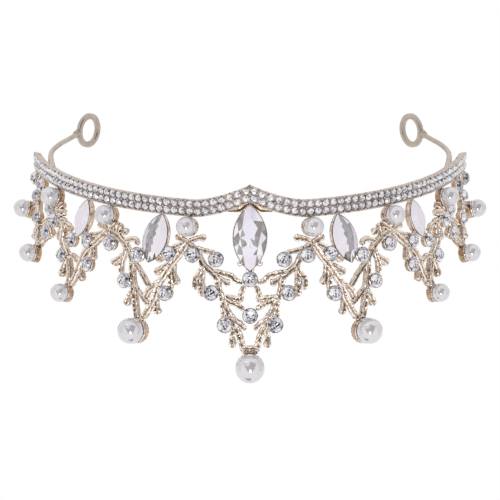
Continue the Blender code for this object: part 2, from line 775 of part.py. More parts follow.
def build_outer_sprays():
    """The sprays further round, each with a small navette."""
    spray = Spray(FIRST_KNOT + KNOT_PITCH)
    knot = knot_offset(0.0, 0.0)
    spray.knot(knot)
    band_pearl = spray.pearl_cup(band_pearl_place(0.0), BAND_PEARL)
    spray.twig(band_pearl_place(0.0), knot)
    spray.twig(knot, knot_offset(-3.6, -2.1))
    spray.twig(knot, knot_offset(4.2, -1.2))
    spray.twig(knot, knot_offset(3.0, 1.5), knot_offset(6.8, 2.6))
    far_bend, elbow, fork = (19.3, 9.2), (18.4, 14.3), (14.0, 18.8)
    low = units(OUTER_DROP)
    spray.branch(far_offset(-4.2, 1.1), far_bend, elbow, fork, (11.8, low - 0.3))
    spray.branch(knot, (2.5, 10.0), (6.4, 13.5), (8.6, 18.0), (10.8, low - 0.5))
    spray.twig((4.6, 12.2), (4.0, 14.6), (4.2, 16.6))
    spray.twig((8.6, 18.0), (7.8, 20.6), (7.3, 23.3))
    spray.twig(far_bend, (20.8, 11.3), (20.3, 14.5))
    spray.twig(far_bend, (17.0, 9.2), (15.2, 11.0))
    spray.twig((15.2, 17.2), (9.2, 18.2))
    spray.twig(fork, (15.3, 20.8), (15.3, 24.0))
    crystals = [spray.crystal_cup(place) for place in ((7.1, 11.4), (13.7, 12.7), (16.8, 17.9), (5.5, 18.0))]
    navette = spray.navette((9.9, 5.7), (OUTER_NAVETTE_LENGTH, OUTER_NAVETTE_WIDTH), OUTER_TURN)
    spray.twig((7.1, 11.4), (10.5, 8.8), (13.7, 12.7))
    pearl = spray.pearl_cup(tip_place(12.1, OUTER_DROP, OUTER_PEARL), OUTER_PEARL)
    spray.collar((11.6, low - 1.3), (12.1, low + 0.9))
    add_pair("spray_outer", spray.casting(), CHAMPAGNE_GOLD)
    add_pair("pearl_band_outer", band_pearl, PEARL_WHITE)
    add_pair("pearl_tip_outer", pearl, PEARL_WHITE)
    add_pair("navette_outer", navette, CLEAR_CRYSTAL)
    for number, mesh in enumerate(crystals, 1):
        add_pair(f"crystal_outer_{number}", mesh, CLEAR_CRYSTAL)


def build_end_sprays():
    """The sprays at the band's ends, whose crystals are set close together."""
    spray = Spray(FIRST_KNOT + 2 * KNOT_PITCH)
    knot = knot_offset(0.0, 0.0)
    hang = units(CRYSTAL_DIAMETER / 2 + CUP_LIP + SOLDER_GAP)
    low = units(END_DROP)
    spray.knot(knot)
    band_pearl = spray.pearl_cup(band_pearl_place(0.0), BAND_PEARL)
    spray.twig(band_pearl_place(0.0), knot)
    spray.twig(knot, knot_offset(-3.7, -3.4))
    spray.twig(knot, knot_offset(-5.4, -1.0))
    bend, low_bend, collar = (13.7, 8.5), (9.9, 13.5), (6.9, low + 0.4)
    spray.branch((17.6, hang), bend, low_bend, (8.0, 18.0), collar)
    spray.branch(knot, (1.6, 10.5), (1.6, 13.4), (4.2, 17.0), collar)
    spray.twig((0.8, 9.0), (4.0, 10.3), (7.3, 12.3), (10.4, 12.9))
    spray.twig(low_bend, (10.7, 15.6), (10.2, 18.2))
    spray.twig(bend, (18.0, 10.2), (20.5, 11.8))
    spray.twig((12.8, hang), (21.8, hang))
    spray.twig((1.7, 12.0), (-0.6, 14.6))
    upper = ((2.9, 7.0), (15.2, 6.2), (12.8, hang), (21.8, hang))
    lower = ((-1.2, 9.4), (2.2, 13.8), (10.6, 11.8))
    for place in upper + lower:
        spray.set_crystal(place)
    side_pearl = spray.pearl_cup((20.5, 11.8), OUTER_PEARL)
    pearl = spray.pearl_cup(tip_place(6.7, END_DROP, OUTER_PEARL), OUTER_PEARL)
    spray.collar((7.1, low - 1.1), (6.7, low + 0.9))
    add_pair("spray_end", spray.casting(), CHAMPAGNE_GOLD)
    add_pair("pearl_band_end", band_pearl, PEARL_WHITE)
    add_pair("pearl_tip_end", pearl, PEARL_WHITE)
    add_pair("pearl_side_end", side_pearl, PEARL_WHITE)


# End arms


def build_arms():
    """The wire arms behind the band, each ending in an eye for a ribbon or a hair pin."""
    behind_band = BAND_THICKNESS + SOLDER_GAP + ARM_DIAMETER / 2
    places = [(ARM_ROOT - ARM_PAD_LENGTH, behind_band), (ARM_ROOT, behind_band)]
    places += [(along * LATTICE_UNIT, inset * LATTICE_UNIT) for along, inset in ARM_BENDS]
    eye_along, eye_inset = EYE_PLACE
    eye_middle = inside_oval(eye_along * LATTICE_UNIT, eye_inset * LATTICE_UNIT)
    heading = Vector((-math.sin(EYE_TURN), math.cos(EYE_TURN), 0.0))
    ring_middle = (EYE_HOLE + EYE_RING_WIDTH) / 2
    path = [inside_oval(*place) for place in places] + [eye_middle - ring_middle * heading]
    arm = tube(path, ARM_DIAMETER, resolution=1)
    inner, outer, half = EYE_HOLE / 2, EYE_HOLE / 2 + EYE_RING_WIDTH, EYE_THICKNESS / 2
    ring = turned_ring(((outer, half), (outer, -half), (inner, -half), (inner, half)), EYE_STEPS)
    face = Vector((heading.y, -heading.x, 0.0))
    frame = Matrix((heading, Vector((0.0, 0.0, 1.0)), face)).transposed().to_4x4()
    frame.translation = eye_middle
    add_pair("arm", fused([arm, placed(ring, frame)]), ARM_METAL)


clear_scene()
PARTS = new_collection("bridal_tiara")
HELPERS = new_collection("tiara_helpers")
build_band()
build_centre_spray()
build_inner_sprays()
build_outer_sprays()
build_end_sprays()
build_arms()
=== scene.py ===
"""Looks of a bridal tiara: pave band, twig sprays with pearls and cut stones, and wire end arms.

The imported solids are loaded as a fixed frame.  Each sub-assembly is a class that builds finer meshes in
the same places, dresses them and sets them in for the solids.  Lengths are in metres; the front faces -Y
and +Z is up.
"""

import json
import logging
import math
import random
from collections.abc import Callable, Iterable, Sequence
from dataclasses import dataclass, replace
from enum import Enum
from functools import cached_property
from typing import NamedTuple

import bmesh
import bpy
import numpy as np
from mathutils import Matrix, Vector

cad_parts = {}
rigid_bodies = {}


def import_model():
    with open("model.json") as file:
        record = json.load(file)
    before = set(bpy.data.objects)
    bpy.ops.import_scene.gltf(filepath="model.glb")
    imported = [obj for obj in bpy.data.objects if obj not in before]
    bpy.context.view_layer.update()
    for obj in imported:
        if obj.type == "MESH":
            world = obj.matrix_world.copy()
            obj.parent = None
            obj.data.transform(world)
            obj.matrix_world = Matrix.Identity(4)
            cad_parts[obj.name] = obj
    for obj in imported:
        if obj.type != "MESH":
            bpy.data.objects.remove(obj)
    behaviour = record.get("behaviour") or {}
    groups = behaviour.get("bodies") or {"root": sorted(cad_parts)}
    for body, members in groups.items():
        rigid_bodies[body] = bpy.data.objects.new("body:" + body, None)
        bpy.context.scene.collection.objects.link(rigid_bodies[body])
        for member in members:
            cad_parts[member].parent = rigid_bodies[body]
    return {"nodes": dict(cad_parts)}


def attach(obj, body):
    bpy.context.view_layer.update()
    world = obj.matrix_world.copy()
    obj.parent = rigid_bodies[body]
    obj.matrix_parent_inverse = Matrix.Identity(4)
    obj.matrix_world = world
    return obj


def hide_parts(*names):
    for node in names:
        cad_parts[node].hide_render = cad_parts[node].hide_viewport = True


for leftover in list(bpy.data.objects):
    bpy.data.objects.remove(leftover, do_unlink=True)
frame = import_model()

LOG = logging.getLogger("tiara")
MM = 0.001
UP = Vector((0.0, 0.0, 1.0))
ROOT = "root"
WHITE = (1.0, 1.0, 1.0)
SMOOTH_ANGLE = math.radians(42.0)
MIDDLE = 0.5
# The tone that marks a stone's girdle and foot for painted shade.
GIRDLE_SHADE_TONE = -1.0

Place = tuple[float, float]
Places = tuple[Place, ...]
Span = tuple[float, float]
Point = tuple[float, float, float]
Colour = tuple[float, float, float]
Stops = tuple[tuple[float, Colour], ...]
Section = tuple[Point, ...]
Facet = tuple[int, ...]


class Slot(Enum):
    """The record's material slots."""

    GOLD = "champagne_gold"
    WIRE = "arm_metal"
    PEARL = "pearl"
    CRYSTAL = "crystal"


class Side(Enum):
    """The two halves of the tiara, and the way that each runs along the band."""

    RIGHT = 1.0
    LEFT = -1.0

    @property
    def word(self) -> str:
        """The word that ends this half's node names."""
        return self.name.lower()


def pick(options: Sequence[float], draw: float) -> float:
    """One of some values, by a draw from 0 to 1."""
    return options[int(draw * len(options))]


def within(span: Span, draw: float) -> float:
    """A value between two, by a draw from 0 to 1."""
    return span[0] + (span[1] - span[0]) * draw


@dataclass(frozen=True)
class FacetTones:
    """Tones of painted reflections on facets, from 0 for dark to 1 for white, and the parts of a stone that
    have them.

    A part is given in half widths across the stone and in half lengths along it.  A round stone has a core
    and a rim.  The large navette has a plain table with a gap and other facets beside it, the medium one a
    tip, a border, a shadow and a bright side, and the small one a single kind.
    """

    core_reach: float = 0.4
    core: tuple[float, ...] = (0.0, 0.1, 0.3, 0.95, 0.95)
    rim: tuple[float, ...] = (0.0, 0.25, 0.6, 0.95, 0.95)
    table_reach: float = 0.32
    table_gap: Span = (-0.3, -0.03)
    table: float = 0.5
    large: tuple[float, ...] = (0.16, 0.27, 0.34, 0.5, 0.92)
    tip_end: float = -0.6
    tip: tuple[float, ...] = (0.0, 0.2, 0.9)
    border_start: float = 0.57
    border: Span = (0.42, 0.58)
    shadow_start: float = -0.12
    shadow: Span = (0.28, 0.36)
    bright: Span = (0.46, 0.82)
    small: Span = (0.52, 0.76)


TONES = FacetTones()


class Cut(Enum):
    """The cuts of the stones, each with its own play of light and dark facets, painted as reflections."""

    ROUND = "round"
    LARGE = "large navette"
    MEDIUM = "medium navette"
    SMALL = "small navette"

    def tone(self, across: float, along: float, chance: random.Random) -> float:
        """How light a facet is painted, as a painted reflection.

        Args:
            across: Where the facet is across the stone, from -1 to 1, positive towards the tiara's end.
            along: Where it is along the stone, from -1 at its lower end to 1.
            chance: The source of chance.

        Returns:
            The tone, from 0 for dark to 1 for white.
        """
        draw = chance.random()
        if self is Cut.ROUND:
            inner = math.hypot(across, along) < TONES.core_reach
            return pick(TONES.core if inner else TONES.rim, draw)
        if self is Cut.LARGE:
            low, high = TONES.table_gap
            if abs(across) < TONES.table_reach and not low < along < high:
                return TONES.table
            return pick(TONES.large, draw)
        if self is Cut.SMALL:
            return within(TONES.small, draw)
        if along < TONES.tip_end:
            return pick(TONES.tip, draw)
        reach = across / (1.0 - along ** 2)
        if reach > TONES.border_start:
            return within(TONES.border, draw)
        return within(TONES.shadow if reach > TONES.shadow_start else TONES.bright, draw)


# Node graphs


def opaque(colour: Colour) -> tuple[float, float, float, float]:
    """A colour with full alpha."""
    return (*colour, 1.0)


class Wire:
    """An output socket that takes part in arithmetic: an operator adds a Math node to its graph."""

    def __init__(self, graph: "Graph", socket: bpy.types.NodeSocket) -> None:
        """Keeps the socket and the graph that it is in."""
        self.graph = graph
        self.socket = socket

    def maths(self, operation: str, *values: "Wire | float") -> "Wire":
        """Adds a Math node.

        Args:
            operation: The node's operation.
            values: The operands, of which this wire need not be the first.

        Returns:
            The node's result.
        """
        return self.graph.add("ShaderNodeMath", {"operation": operation}, dict(enumerate(values)))

    def __add__(self, other: "Wire | float") -> "Wire":
        """Sum."""
        return self.maths("ADD", self, other)

    def __radd__(self, other: float) -> "Wire":
        """Sum with a number in front."""
        return self.maths("ADD", other, self)

    def __sub__(self, other: "Wire | float") -> "Wire":
        """Difference."""
        return self.maths("SUBTRACT", self, other)

    def __rsub__(self, other: float) -> "Wire":
        """Difference from a number."""
        return self.maths("SUBTRACT", other, self)

    def __mul__(self, other: "Wire | float") -> "Wire":
        """Product."""
        return self.maths("MULTIPLY", self, other)

    def __rmul__(self, other: float) -> "Wire":
        """Product with a number in front."""
        return self.maths("MULTIPLY", other, self)

    def __truediv__(self, other: "Wire | float") -> "Wire":
        """Quotient."""
        return self.maths("DIVIDE", self, other)

    def __rtruediv__(self, other: float) -> "Wire":
        """Quotient of a number."""
        return self.maths("DIVIDE", other, self)

    def __pow__(self, other: "Wire | float") -> "Wire":
        """Power."""
        return self.maths("POWER", self, other)

    def at_most(self, other: "Wire | float") -> "Wire":
        """The lesser of two values."""
        return self.maths("MINIMUM", self, other)

    def at_least(self, other: "Wire | float") -> "Wire":
        """The greater of two values."""
        return self.maths("MAXIMUM", self, other)

    def root(self) -> "Wire":
        """Square root."""
        return self.maths("SQRT", self)

    def between(self, low: float, high: float) -> "Wire":
        """A smooth step from 0 at low to 1 at high."""
        inputs = {"Value": self, "From Min": low, "From Max": high}
        return self.graph.add("ShaderNodeMapRange", {"interpolation_type": "SMOOTHSTEP"}, inputs)


class Graph:
    """A node tree that is filled by one method."""

    def __init__(self, tree: bpy.types.NodeTree) -> None:
        """Keeps the tree."""
        self.tree = tree

    def add(
        self,
        kind: str,
        settings: dict[str, object] | None = None,
        inputs: dict[str | int, object] | None = None,
        output: str | int = 0,
    ) -> Wire:
        """Adds a node.

        Args:
            kind: The node's type.
            settings: Its properties, and a colour ramp's stops under "stops".
            inputs: Values or wires by the socket's name, or by its number among those in use.
            output: The name of the wanted output, or its number among those in use.

        Returns:
            The wanted output.
        """
        node = self.tree.nodes.new(kind)
        for name, value in (settings or {}).items():
            if name == "stops":
                self._set_stops(node.color_ramp, value)
            else:
                setattr(node, name, value)
        for key, value in (inputs or {}).items():
            socket = self._socket(node.inputs, key)
            if isinstance(value, Wire):
                self.tree.links.new(value.socket, socket)
            else:
                socket.default_value = value
        return Wire(self, self._socket(node.outputs, output))

    @staticmethod
    def _socket(sockets: Iterable[bpy.types.NodeSocket], key: str | int) -> bpy.types.NodeSocket:
        """Finds a socket in use.

        Args:
            sockets: A node's inputs or outputs.
            key: The socket's name, or its number among those in use.

        Returns:
            The socket.
        """
        used = [socket for socket in sockets if socket.enabled]
        if isinstance(key, int):
            return used[key]
        return next(socket for socket in used if socket.name == key)

    @staticmethod
    def _set_stops(ramp: bpy.types.ColorRamp, stops: Stops) -> None:
        """Sets a ramp of stepped colours.

        Args:
            ramp: The ramp.
            stops: Where each colour starts, and the colour.
        """
        ramp.interpolation = "CONSTANT"
        while len(ramp.elements) < len(stops):
            ramp.elements.new(1.0)
        for element, (place, colour) in zip(ramp.elements, stops):
            element.position = place
            element.color = opaque(colour)

    def attribute(self, name: str) -> Wire:
        """A number that the mesh stores under a name, for a shader."""
        return self.add("ShaderNodeAttribute", {"attribute_name": name}, output="Fac")

    def noise(self, size: float, detail: float = 2.0) -> Wire:
        """Soft noise on Object coordinates.

        Args:
            size: The rough size of one patch.
            detail: Octaves.

        Returns:
            The noise, about 0.5.
        """
        place = self.add("ShaderNodeTexCoord", output="Object")
        inputs = {"Vector": place, "Scale": 1.0 / size, "Detail": detail}
        return self.add("ShaderNodeTexNoise", inputs=inputs)

    def blend(self, share: Wire, first: "Colour | Wire", second: "Colour | Wire") -> Wire:
        """Mixes two colours.

        Args:
            share: How much of the second colour is in the mix.
            first: The first colour.
            second: The second colour.

        Returns:
            The mix.
        """
        start, end = [colour if isinstance(colour, Wire) else opaque(colour) for colour in (first, second)]
        inputs = {"Factor": share, "A": start, "B": end}
        return self.add("ShaderNodeMix", {"data_type": "RGBA"}, inputs, output="Result")

    def bump(self, height: Wire, depth: float) -> Wire:
        """A normal that follows a height."""
        return self.add("ShaderNodeBump", inputs={"Strength": 1.0, "Distance": depth, "Height": height})

    def shown(self) -> Wire:
        """Tells the rays that show a surface from those that only carry its light.

        Returns:
            1 for rays from the camera, directly or through gloss or glass, and 0 for others.
        """
        names = ("Is Camera Ray", "Is Glossy Ray", "Is Transmission Ray")
        straight, gloss, glass = [self.add("ShaderNodeLightPath", output=name) for name in names]
        return straight.at_least(gloss).at_least(glass)

    def glow(self, colour: Colour) -> Wire:
        """A shader that looks the same in any light."""
        return self.add("ShaderNodeEmission", inputs={"Color": opaque(colour), "Strength": 1.0})

    def show(self, shader: Wire) -> None:
        """Links a shader to a material's output."""
        self.tree.links.new(shader.socket, self.tree.nodes["Material Output"].inputs["Surface"])


# Finishes


@dataclass(frozen=True)
class Finish:
    """A finish that is made as one material when it is first asked for."""

    name: str

    def material(self) -> bpy.types.Material:
        """Makes the material, once.

        Returns:
            The material.
        """
        found = bpy.data.materials.get(self.name)
        if found:
            return found
        made = bpy.data.materials.new(self.name)
        made.use_nodes = True
        self.dress(Graph(made.node_tree), made.node_tree.nodes["Principled BSDF"])
        return made

    def dress(self, graph: Graph, shader: bpy.types.Node) -> None:
        """Fills in the material.

        Args:
            graph: The material's nodes.
            shader: Its Principled shader.
        """
        raise NotImplementedError

    @staticmethod
    def feed(graph: Graph, shader: bpy.types.Node, **wires: Wire) -> None:
        """Links wires to the shader's sockets; underscores stand for spaces."""
        for name, wire in wires.items():
            graph.tree.links.new(wire.socket, shader.inputs[name.replace("_", " ")])

    @staticmethod
    def fix(shader: bpy.types.Node, **values: float | Sequence[float]) -> None:
        """Sets the shader's sockets to constants; underscores stand for spaces."""
        for name, value in values.items():
            shader.inputs[name.replace("_", " ")].default_value = value


@dataclass(frozen=True)
class CastGold(Finish):
    """Champagne-gold plating on a casting, with painted light: a painted highlight on raised edges, browner
    painted shade on sides and in hollows, and fine dark pits.
    """

    # The first three colours are painted light: a painted highlight, a painted half shade and a deep painted
    # shade.
    ridge: Colour = (0.96, 0.90, 0.855)
    flank: Colour = (0.635, 0.458, 0.322)
    groove: Colour = (0.285, 0.17, 0.092)
    pit: Colour = (0.13, 0.075, 0.045)
    flank_span: Span = (0.0, 0.5)
    ridge_span: Span = (0.45, 0.9)
    cloud_size: float = 1.4 * MM
    cloud_share: float = 0.75
    pit_size: float = 0.6 * MM
    pit_span: Span = (0.59, 0.67)
    pit_share: float = 0.9
    pit_roughness: float = 0.25
    grain_size: float = 0.16 * MM
    grain_depth: float = 0.014 * MM
    grain_roughness: float = 0.16
    roughness: float = 0.25

    def dress(self, graph: Graph, shader: bpy.types.Node) -> None:
        """Fills in the material.

        Args:
            graph: The material's nodes.
            shader: Its Principled shader.
        """
        # The stored share of painted highlight, with noise, steps from deep painted shade through painted
        # half shade to painted highlight.
        cloud = graph.noise(self.cloud_size) - MIDDLE
        painted_light = graph.attribute("ridge") + cloud * self.cloud_share
        shaded_plate = graph.blend(painted_light.between(*self.flank_span), self.groove, self.flank)
        shaded_plate = graph.blend(painted_light.between(*self.ridge_span), shaded_plate, self.ridge)
        pits = graph.noise(self.pit_size, detail=1.0).between(*self.pit_span) * self.pit_share
        grain = graph.noise(self.grain_size)
        rough = self.roughness + (grain - MIDDLE) * self.grain_roughness + pits * self.pit_roughness
        self.feed(
            graph, shader, Base_Color=graph.blend(pits, shaded_plate, self.pit), Roughness=rough,
            Normal=graph.bump(grain, self.grain_depth),
        )
        self.fix(shader, Metallic=1.0)


@dataclass(frozen=True)
class DrawnWire(Finish):
    """Greyish-beige plated wire with faint drawing marks."""

    light: Colour = (0.585, 0.508, 0.441)
    dark: Colour = (0.515, 0.44, 0.373)
    patch_size: float = 3.0 * MM
    patch_span: Span = (0.3, 0.7)
    mark_size: float = 0.3 * MM
    mark_depth: float = 0.005 * MM
    mark_roughness: float = 0.2
    roughness: float = 0.42
    metal: float = 0.85

    def dress(self, graph: Graph, shader: bpy.types.Node) -> None:
        """Fills in the material.

        Args:
            graph: The material's nodes.
            shader: Its Principled shader.
        """
        patches = graph.noise(self.patch_size).between(*self.patch_span)
        marks = graph.noise(self.mark_size, detail=3.0)
        self.feed(
            graph, shader, Base_Color=graph.blend(patches, self.dark, self.light),
            Roughness=self.roughness + (marks - MIDDLE) * self.mark_roughness,
            Normal=graph.bump(marks, self.mark_depth),
        )
        self.fix(shader, Metallic=self.metal)


@dataclass(frozen=True)
class PearlLustre(Finish):
    """White pearl coating: cool body, rosy overtone and a clear glossy skin."""

    body: Colour = (0.63, 0.606, 0.654)
    overtone: Colour = (0.70, 0.668, 0.697)
    patch_size: float = 5.0 * MM
    patch_span: Span = (0.3, 0.7)
    skin_size: float = 0.5 * MM
    skin_depth: float = 0.0012 * MM
    skin_roughness: float = 0.08
    roughness: float = 0.15
    refraction: float = 1.6
    coat_refraction: float = 3.2
    coat_roughness: float = 0.05

    def dress(self, graph: Graph, shader: bpy.types.Node) -> None:
        """Fills in the material.

        Args:
            graph: The material's nodes.
            shader: Its Principled shader.
        """
        patches = graph.noise(self.patch_size).between(*self.patch_span)
        skin_noise = graph.noise(self.skin_size)
        self.feed(
            graph, shader, Base_Color=graph.blend(patches, self.body, self.overtone),
            Roughness=self.roughness + skin_noise * self.skin_roughness,
            Normal=graph.bump(skin_noise, self.skin_depth),
        )
        self.fix(
            shader, IOR=self.refraction, Coat_Weight=1.0, Coat_Roughness=self.coat_roughness,
            Coat_IOR=self.coat_refraction,
        )


@dataclass(frozen=True)
class CutCrystal(Finish):
    """Clear foiled glass with painted reflections: each facet has its own painted tone, from dark to white,
    for what it and the facets behind it would reflect.
    """

    # Stepped colours of the painted reflections, from dark to white.
    tones: Stops = (
        (0.00, (0.02, 0.018, 0.02)),
        (0.08, (0.11, 0.10, 0.12)),
        (0.28, (0.37, 0.345, 0.40)),
        (0.52, (0.65, 0.62, 0.69)),
        (0.74, (0.92, 0.91, 0.97)),
        (0.90, (1.00, 1.00, 1.00)),
    )
    # Painted shade on the girdle and the foot.
    edge: Colour = (0.07, 0.06, 0.06)
    # Fire: painted flashes of dispersed light, laid on in noise patches.
    fire: Colour = (0.72, 0.72, 0.95)
    fire_size: float = 0.7 * MM
    fire_span: Span = (0.5, 0.7)
    fire_share: float = 0.15
    shade_share: float = 0.3
    mirror: float = 0.1
    roughness: float = 0.04
    gloss: float = 1.0
    refraction: float = 1.54

    def dress(self, graph: Graph, shader: bpy.types.Node) -> None:
        """Fills in the material.

        Args:
            graph: The material's nodes.
            shader: Its Principled shader.
        """
        # Stored tones are painted reflections, shifted a little per copy at random; girdle faces, below 0,
        # get painted shade.
        tone = graph.attribute("tone")
        shade = tone + (graph.attribute("shade") - MIDDLE) * self.shade_share
        step = {"Fac": shade.at_least(0.0).at_most(1.0)}
        facets = graph.add("ShaderNodeValToRGB", {"stops": self.tones}, step, output="Color")
        fire = graph.noise(self.fire_size).between(*self.fire_span) * self.fire_share
        facets = graph.blend(fire, facets, self.fire)
        girdle = tone.maths("LESS_THAN", tone, 0.0)
        self.feed(graph, shader, Base_Color=graph.blend(girdle, facets, self.edge))
        self.fix(
            shader, Metallic=self.mirror, Roughness=self.roughness, IOR=self.refraction,
            Coat_Weight=self.gloss, Coat_Roughness=self.roughness / 2, Specular_IOR_Level=self.gloss / 2,
        )


@dataclass(frozen=True)
class PaleFloor(Finish):
    """A pale matt floor that turns white away from the tiara's shadow, for the rays that show it."""

    grey: float = 0.86
    roughness: float = 0.7
    fade: Span = (0.12, 0.25)

    def dress(self, graph: Graph, shader: bpy.types.Node) -> None:
        """Fills in the material.

        Args:
            graph: The material's nodes.
            shader: Its Principled shader.
        """
        self.fix(shader, Base_Color=opaque((self.grey,) * 3), Roughness=self.roughness)
        place = graph.add("ShaderNodeTexCoord", output="Object")
        away = graph.add("ShaderNodeVectorMath", {"operation": "LENGTH"}, {0: place}, output="Value")
        share = graph.shown() * away.between(*self.fade)
        matt = Wire(graph, shader.outputs[0])
        graph.show(graph.add("ShaderNodeMixShader", inputs={0: share, 1: matt, 2: graph.glow(WHITE)}))


@dataclass(frozen=True)
class GreyCard(Finish):
    """A card that looks equally light from everywhere."""

    grey: float = 0.5

    def dress(self, graph: Graph, shader: bpy.types.Node) -> None:
        """Shows a plain tone instead of the shader."""
        graph.show(graph.glow((self.grey,) * 3))


CAST_GOLD = CastGold("cast_gold")
# The band's gold, with greyer colours of painted highlight and painted shade.
BAND_GOLD = CastGold(
    "band_gold",
    ridge=(0.72, 0.635, 0.573),
    flank=(0.61, 0.525, 0.47),
    groove=(0.45, 0.37, 0.323),
    cloud_share=0.3,
    roughness=0.6,
)
DRAWN_WIRE = DrawnWire("drawn_wire")
PEARL_LUSTRE = PearlLustre("pearl_lustre")
ROUND_CRYSTAL = CutCrystal("round_crystal")
# The band's stones: lighter painted reflections and a greyer painted shade on the girdle.
PAVE_CRYSTAL = CutCrystal(
    "pave_crystal",
    tones=(
        (0.00, (0.27, 0.25, 0.27)),
        (0.08, (0.48, 0.455, 0.485)),
        (0.28, (0.74, 0.71, 0.76)),
        (0.52, (0.91, 0.885, 0.93)),
        (0.74, (0.94, 0.93, 0.98)),
        (0.90, (1.00, 1.00, 1.00)),
    ),
    edge=(0.29, 0.255, 0.24),
    mirror=0.2,
)
# The navettes: paler painted reflections and a dark painted shade on the girdle.
NAVETTE_CRYSTAL = CutCrystal(
    "navette_crystal",
    tones=(
        (0.00, (0.16, 0.15, 0.15)),
        (0.15, (0.36, 0.33, 0.31)),
        (0.22, (0.32, 0.30, 0.325)),
        (0.30, (0.44, 0.42, 0.44)),
        (0.45, (0.90, 0.86, 0.96)),
        (0.65, (0.92, 0.86, 0.89)),
        (0.85, (1.00, 1.00, 1.00)),
    ),
    edge=(0.05, 0.045, 0.04),
    fire=(0.86, 0.80, 0.92),
    fire_size=1.6 * MM,
    shade_share=0.0,
    mirror=0.03,
    roughness=0.4,
    gloss=0.15,
)
# The large navette has a greyer painted shade on its girdle.
LARGE_CRYSTAL = replace(
    NAVETTE_CRYSTAL, name="large_crystal", edge=(0.42, 0.39, 0.38), mirror=0.15, roughness=0.3
)
PALE_FLOOR = PaleFloor("pale_floor")


# Places on the tiara


@dataclass(frozen=True)
class HeadOval:
    """The oval that the band's face follows, and the leaning lattice that hangs below it."""

    half_width: float = 65.0 * MM
    half_depth: float = 73.0 * MM
    band_height: float = 5.0 * MM
    lattice_inset: float = 0.7 * MM
    flare: float = math.radians(14.0)
    samples: int = 2001

    @cached_property
    def arcs(self) -> tuple[np.ndarray, np.ndarray]:
        """Measures half of the oval.

        Returns:
            Angles round the oval, and the arc length from its front to each.
        """
        angles = np.linspace(0.0, math.pi, self.samples)
        speed = np.hypot(self.half_width * np.cos(angles), self.half_depth * np.sin(angles))
        steps = (speed[1:] + speed[:-1]) / 2 * np.diff(angles)
        return angles, np.concatenate([[0.0], np.cumsum(steps)])

    def at(self, along: float) -> tuple[Vector, Vector, Vector]:
        """A place on the oval.

        Args:
            along: Arc length from the front, positive towards +X.

        Returns:
            The point, the tangent and the outward normal.
        """
        angles, lengths = self.arcs
        angle = math.copysign(float(np.interp(abs(along), lengths, angles)), along)
        sine, cosine = math.sin(angle), math.cos(angle)
        point = Vector((self.half_width * sine, -self.half_depth * cosine, 0.0))
        tangent = Vector((self.half_width * cosine, self.half_depth * sine, 0.0)).normalized()
        return point, tangent, Vector((tangent.y, -tangent.x, 0.0))

    def lattice(self, along: float, drop: float, lift: float = 0.0) -> Matrix:
        """Axes on the lattice: X along the band, Y up the slope and Z out of its face.

        Args:
            along: Arc length from the front.
            drop: Distance down the slope from the band's lower edge.
            lift: Distance out of the face.

        Returns:
            The axes.
        """
        point, tangent, outward = self.at(along)
        slope = math.sin(self.flare) * outward - math.cos(self.flare) * UP
        face = math.cos(self.flare) * outward + math.sin(self.flare) * UP
        edge = point - self.lattice_inset * outward - self.band_height / 2 * UP
        return axes_at(edge + drop * slope + lift * face, tangent, -slope, face)


def axes_at(place: Vector, across: Vector, up: Vector, out: Vector) -> Matrix:
    """Axes at a place, from the ways of X, Y and Z.

    Args:
        place: The place.
        across: The way of X.
        up: The way of Y.
        out: The way of Z.

    Returns:
        The axes.
    """
    axes = Matrix((across, up, out)).transposed().to_4x4()
    axes.translation = place
    return axes


@dataclass(frozen=True)
class Seat:
    """Where an item is set, and how large."""

    axes: Matrix
    size: float


@dataclass(frozen=True)
class Path:
    """A line that a bar follows: axes along it, and half the bar's width at each."""

    axes: tuple[Matrix, ...]
    girths: tuple[float, ...]


OVAL = HeadOval()


# Meshes


class Turn(NamedTuple):
    """A point of a turned profile: radius, height, share of painted highlight, and flute depth as a share of
    the radius.
    """

    radius: float
    height: float
    ridge: float = 0.0
    flute: float = 0.0


def new_object(name: str, mesh: bpy.types.Mesh) -> bpy.types.Object:
    """Puts a mesh in the scene.

    Args:
        name: Name of the object.
        mesh: The mesh.

    Returns:
        The object.
    """
    made = bpy.data.objects.new(name, mesh)
    bpy.context.scene.collection.objects.link(made)
    return made


def store(mesh: bpy.types.Mesh, name: str, values: Sequence[float], domain: str = "POINT") -> None:
    """Stores a number for each vertex or face of a mesh."""
    mesh.attributes.new(name, "FLOAT", domain).data.foreach_set("value", np.asarray(values, np.float32))


def store_vectors(mesh: bpy.types.Mesh, name: str, values: Sequence[Vector]) -> None:
    """Stores a vector for each vertex of a mesh."""
    mesh.attributes.new(name, "FLOAT_VECTOR", "POINT").data.foreach_set("vector", np.array(values).ravel())


def solid(points: Sequence[Sequence[float]], faces: Sequence[Sequence[int]]) -> bpy.types.Mesh:
    """A closed mesh whose faces point out.

    Args:
        points: The vertices.
        faces: The vertices' numbers, face by face.

    Returns:
        The mesh.
    """
    mesh = bpy.data.meshes.new("solid")
    mesh.from_pydata(points, [], faces)
    bm = bmesh.new()
    bm.from_mesh(mesh)
    bmesh.ops.recalc_face_normals(bm, faces=bm.faces)
    bm.to_mesh(mesh)
    bm.free()
    return mesh


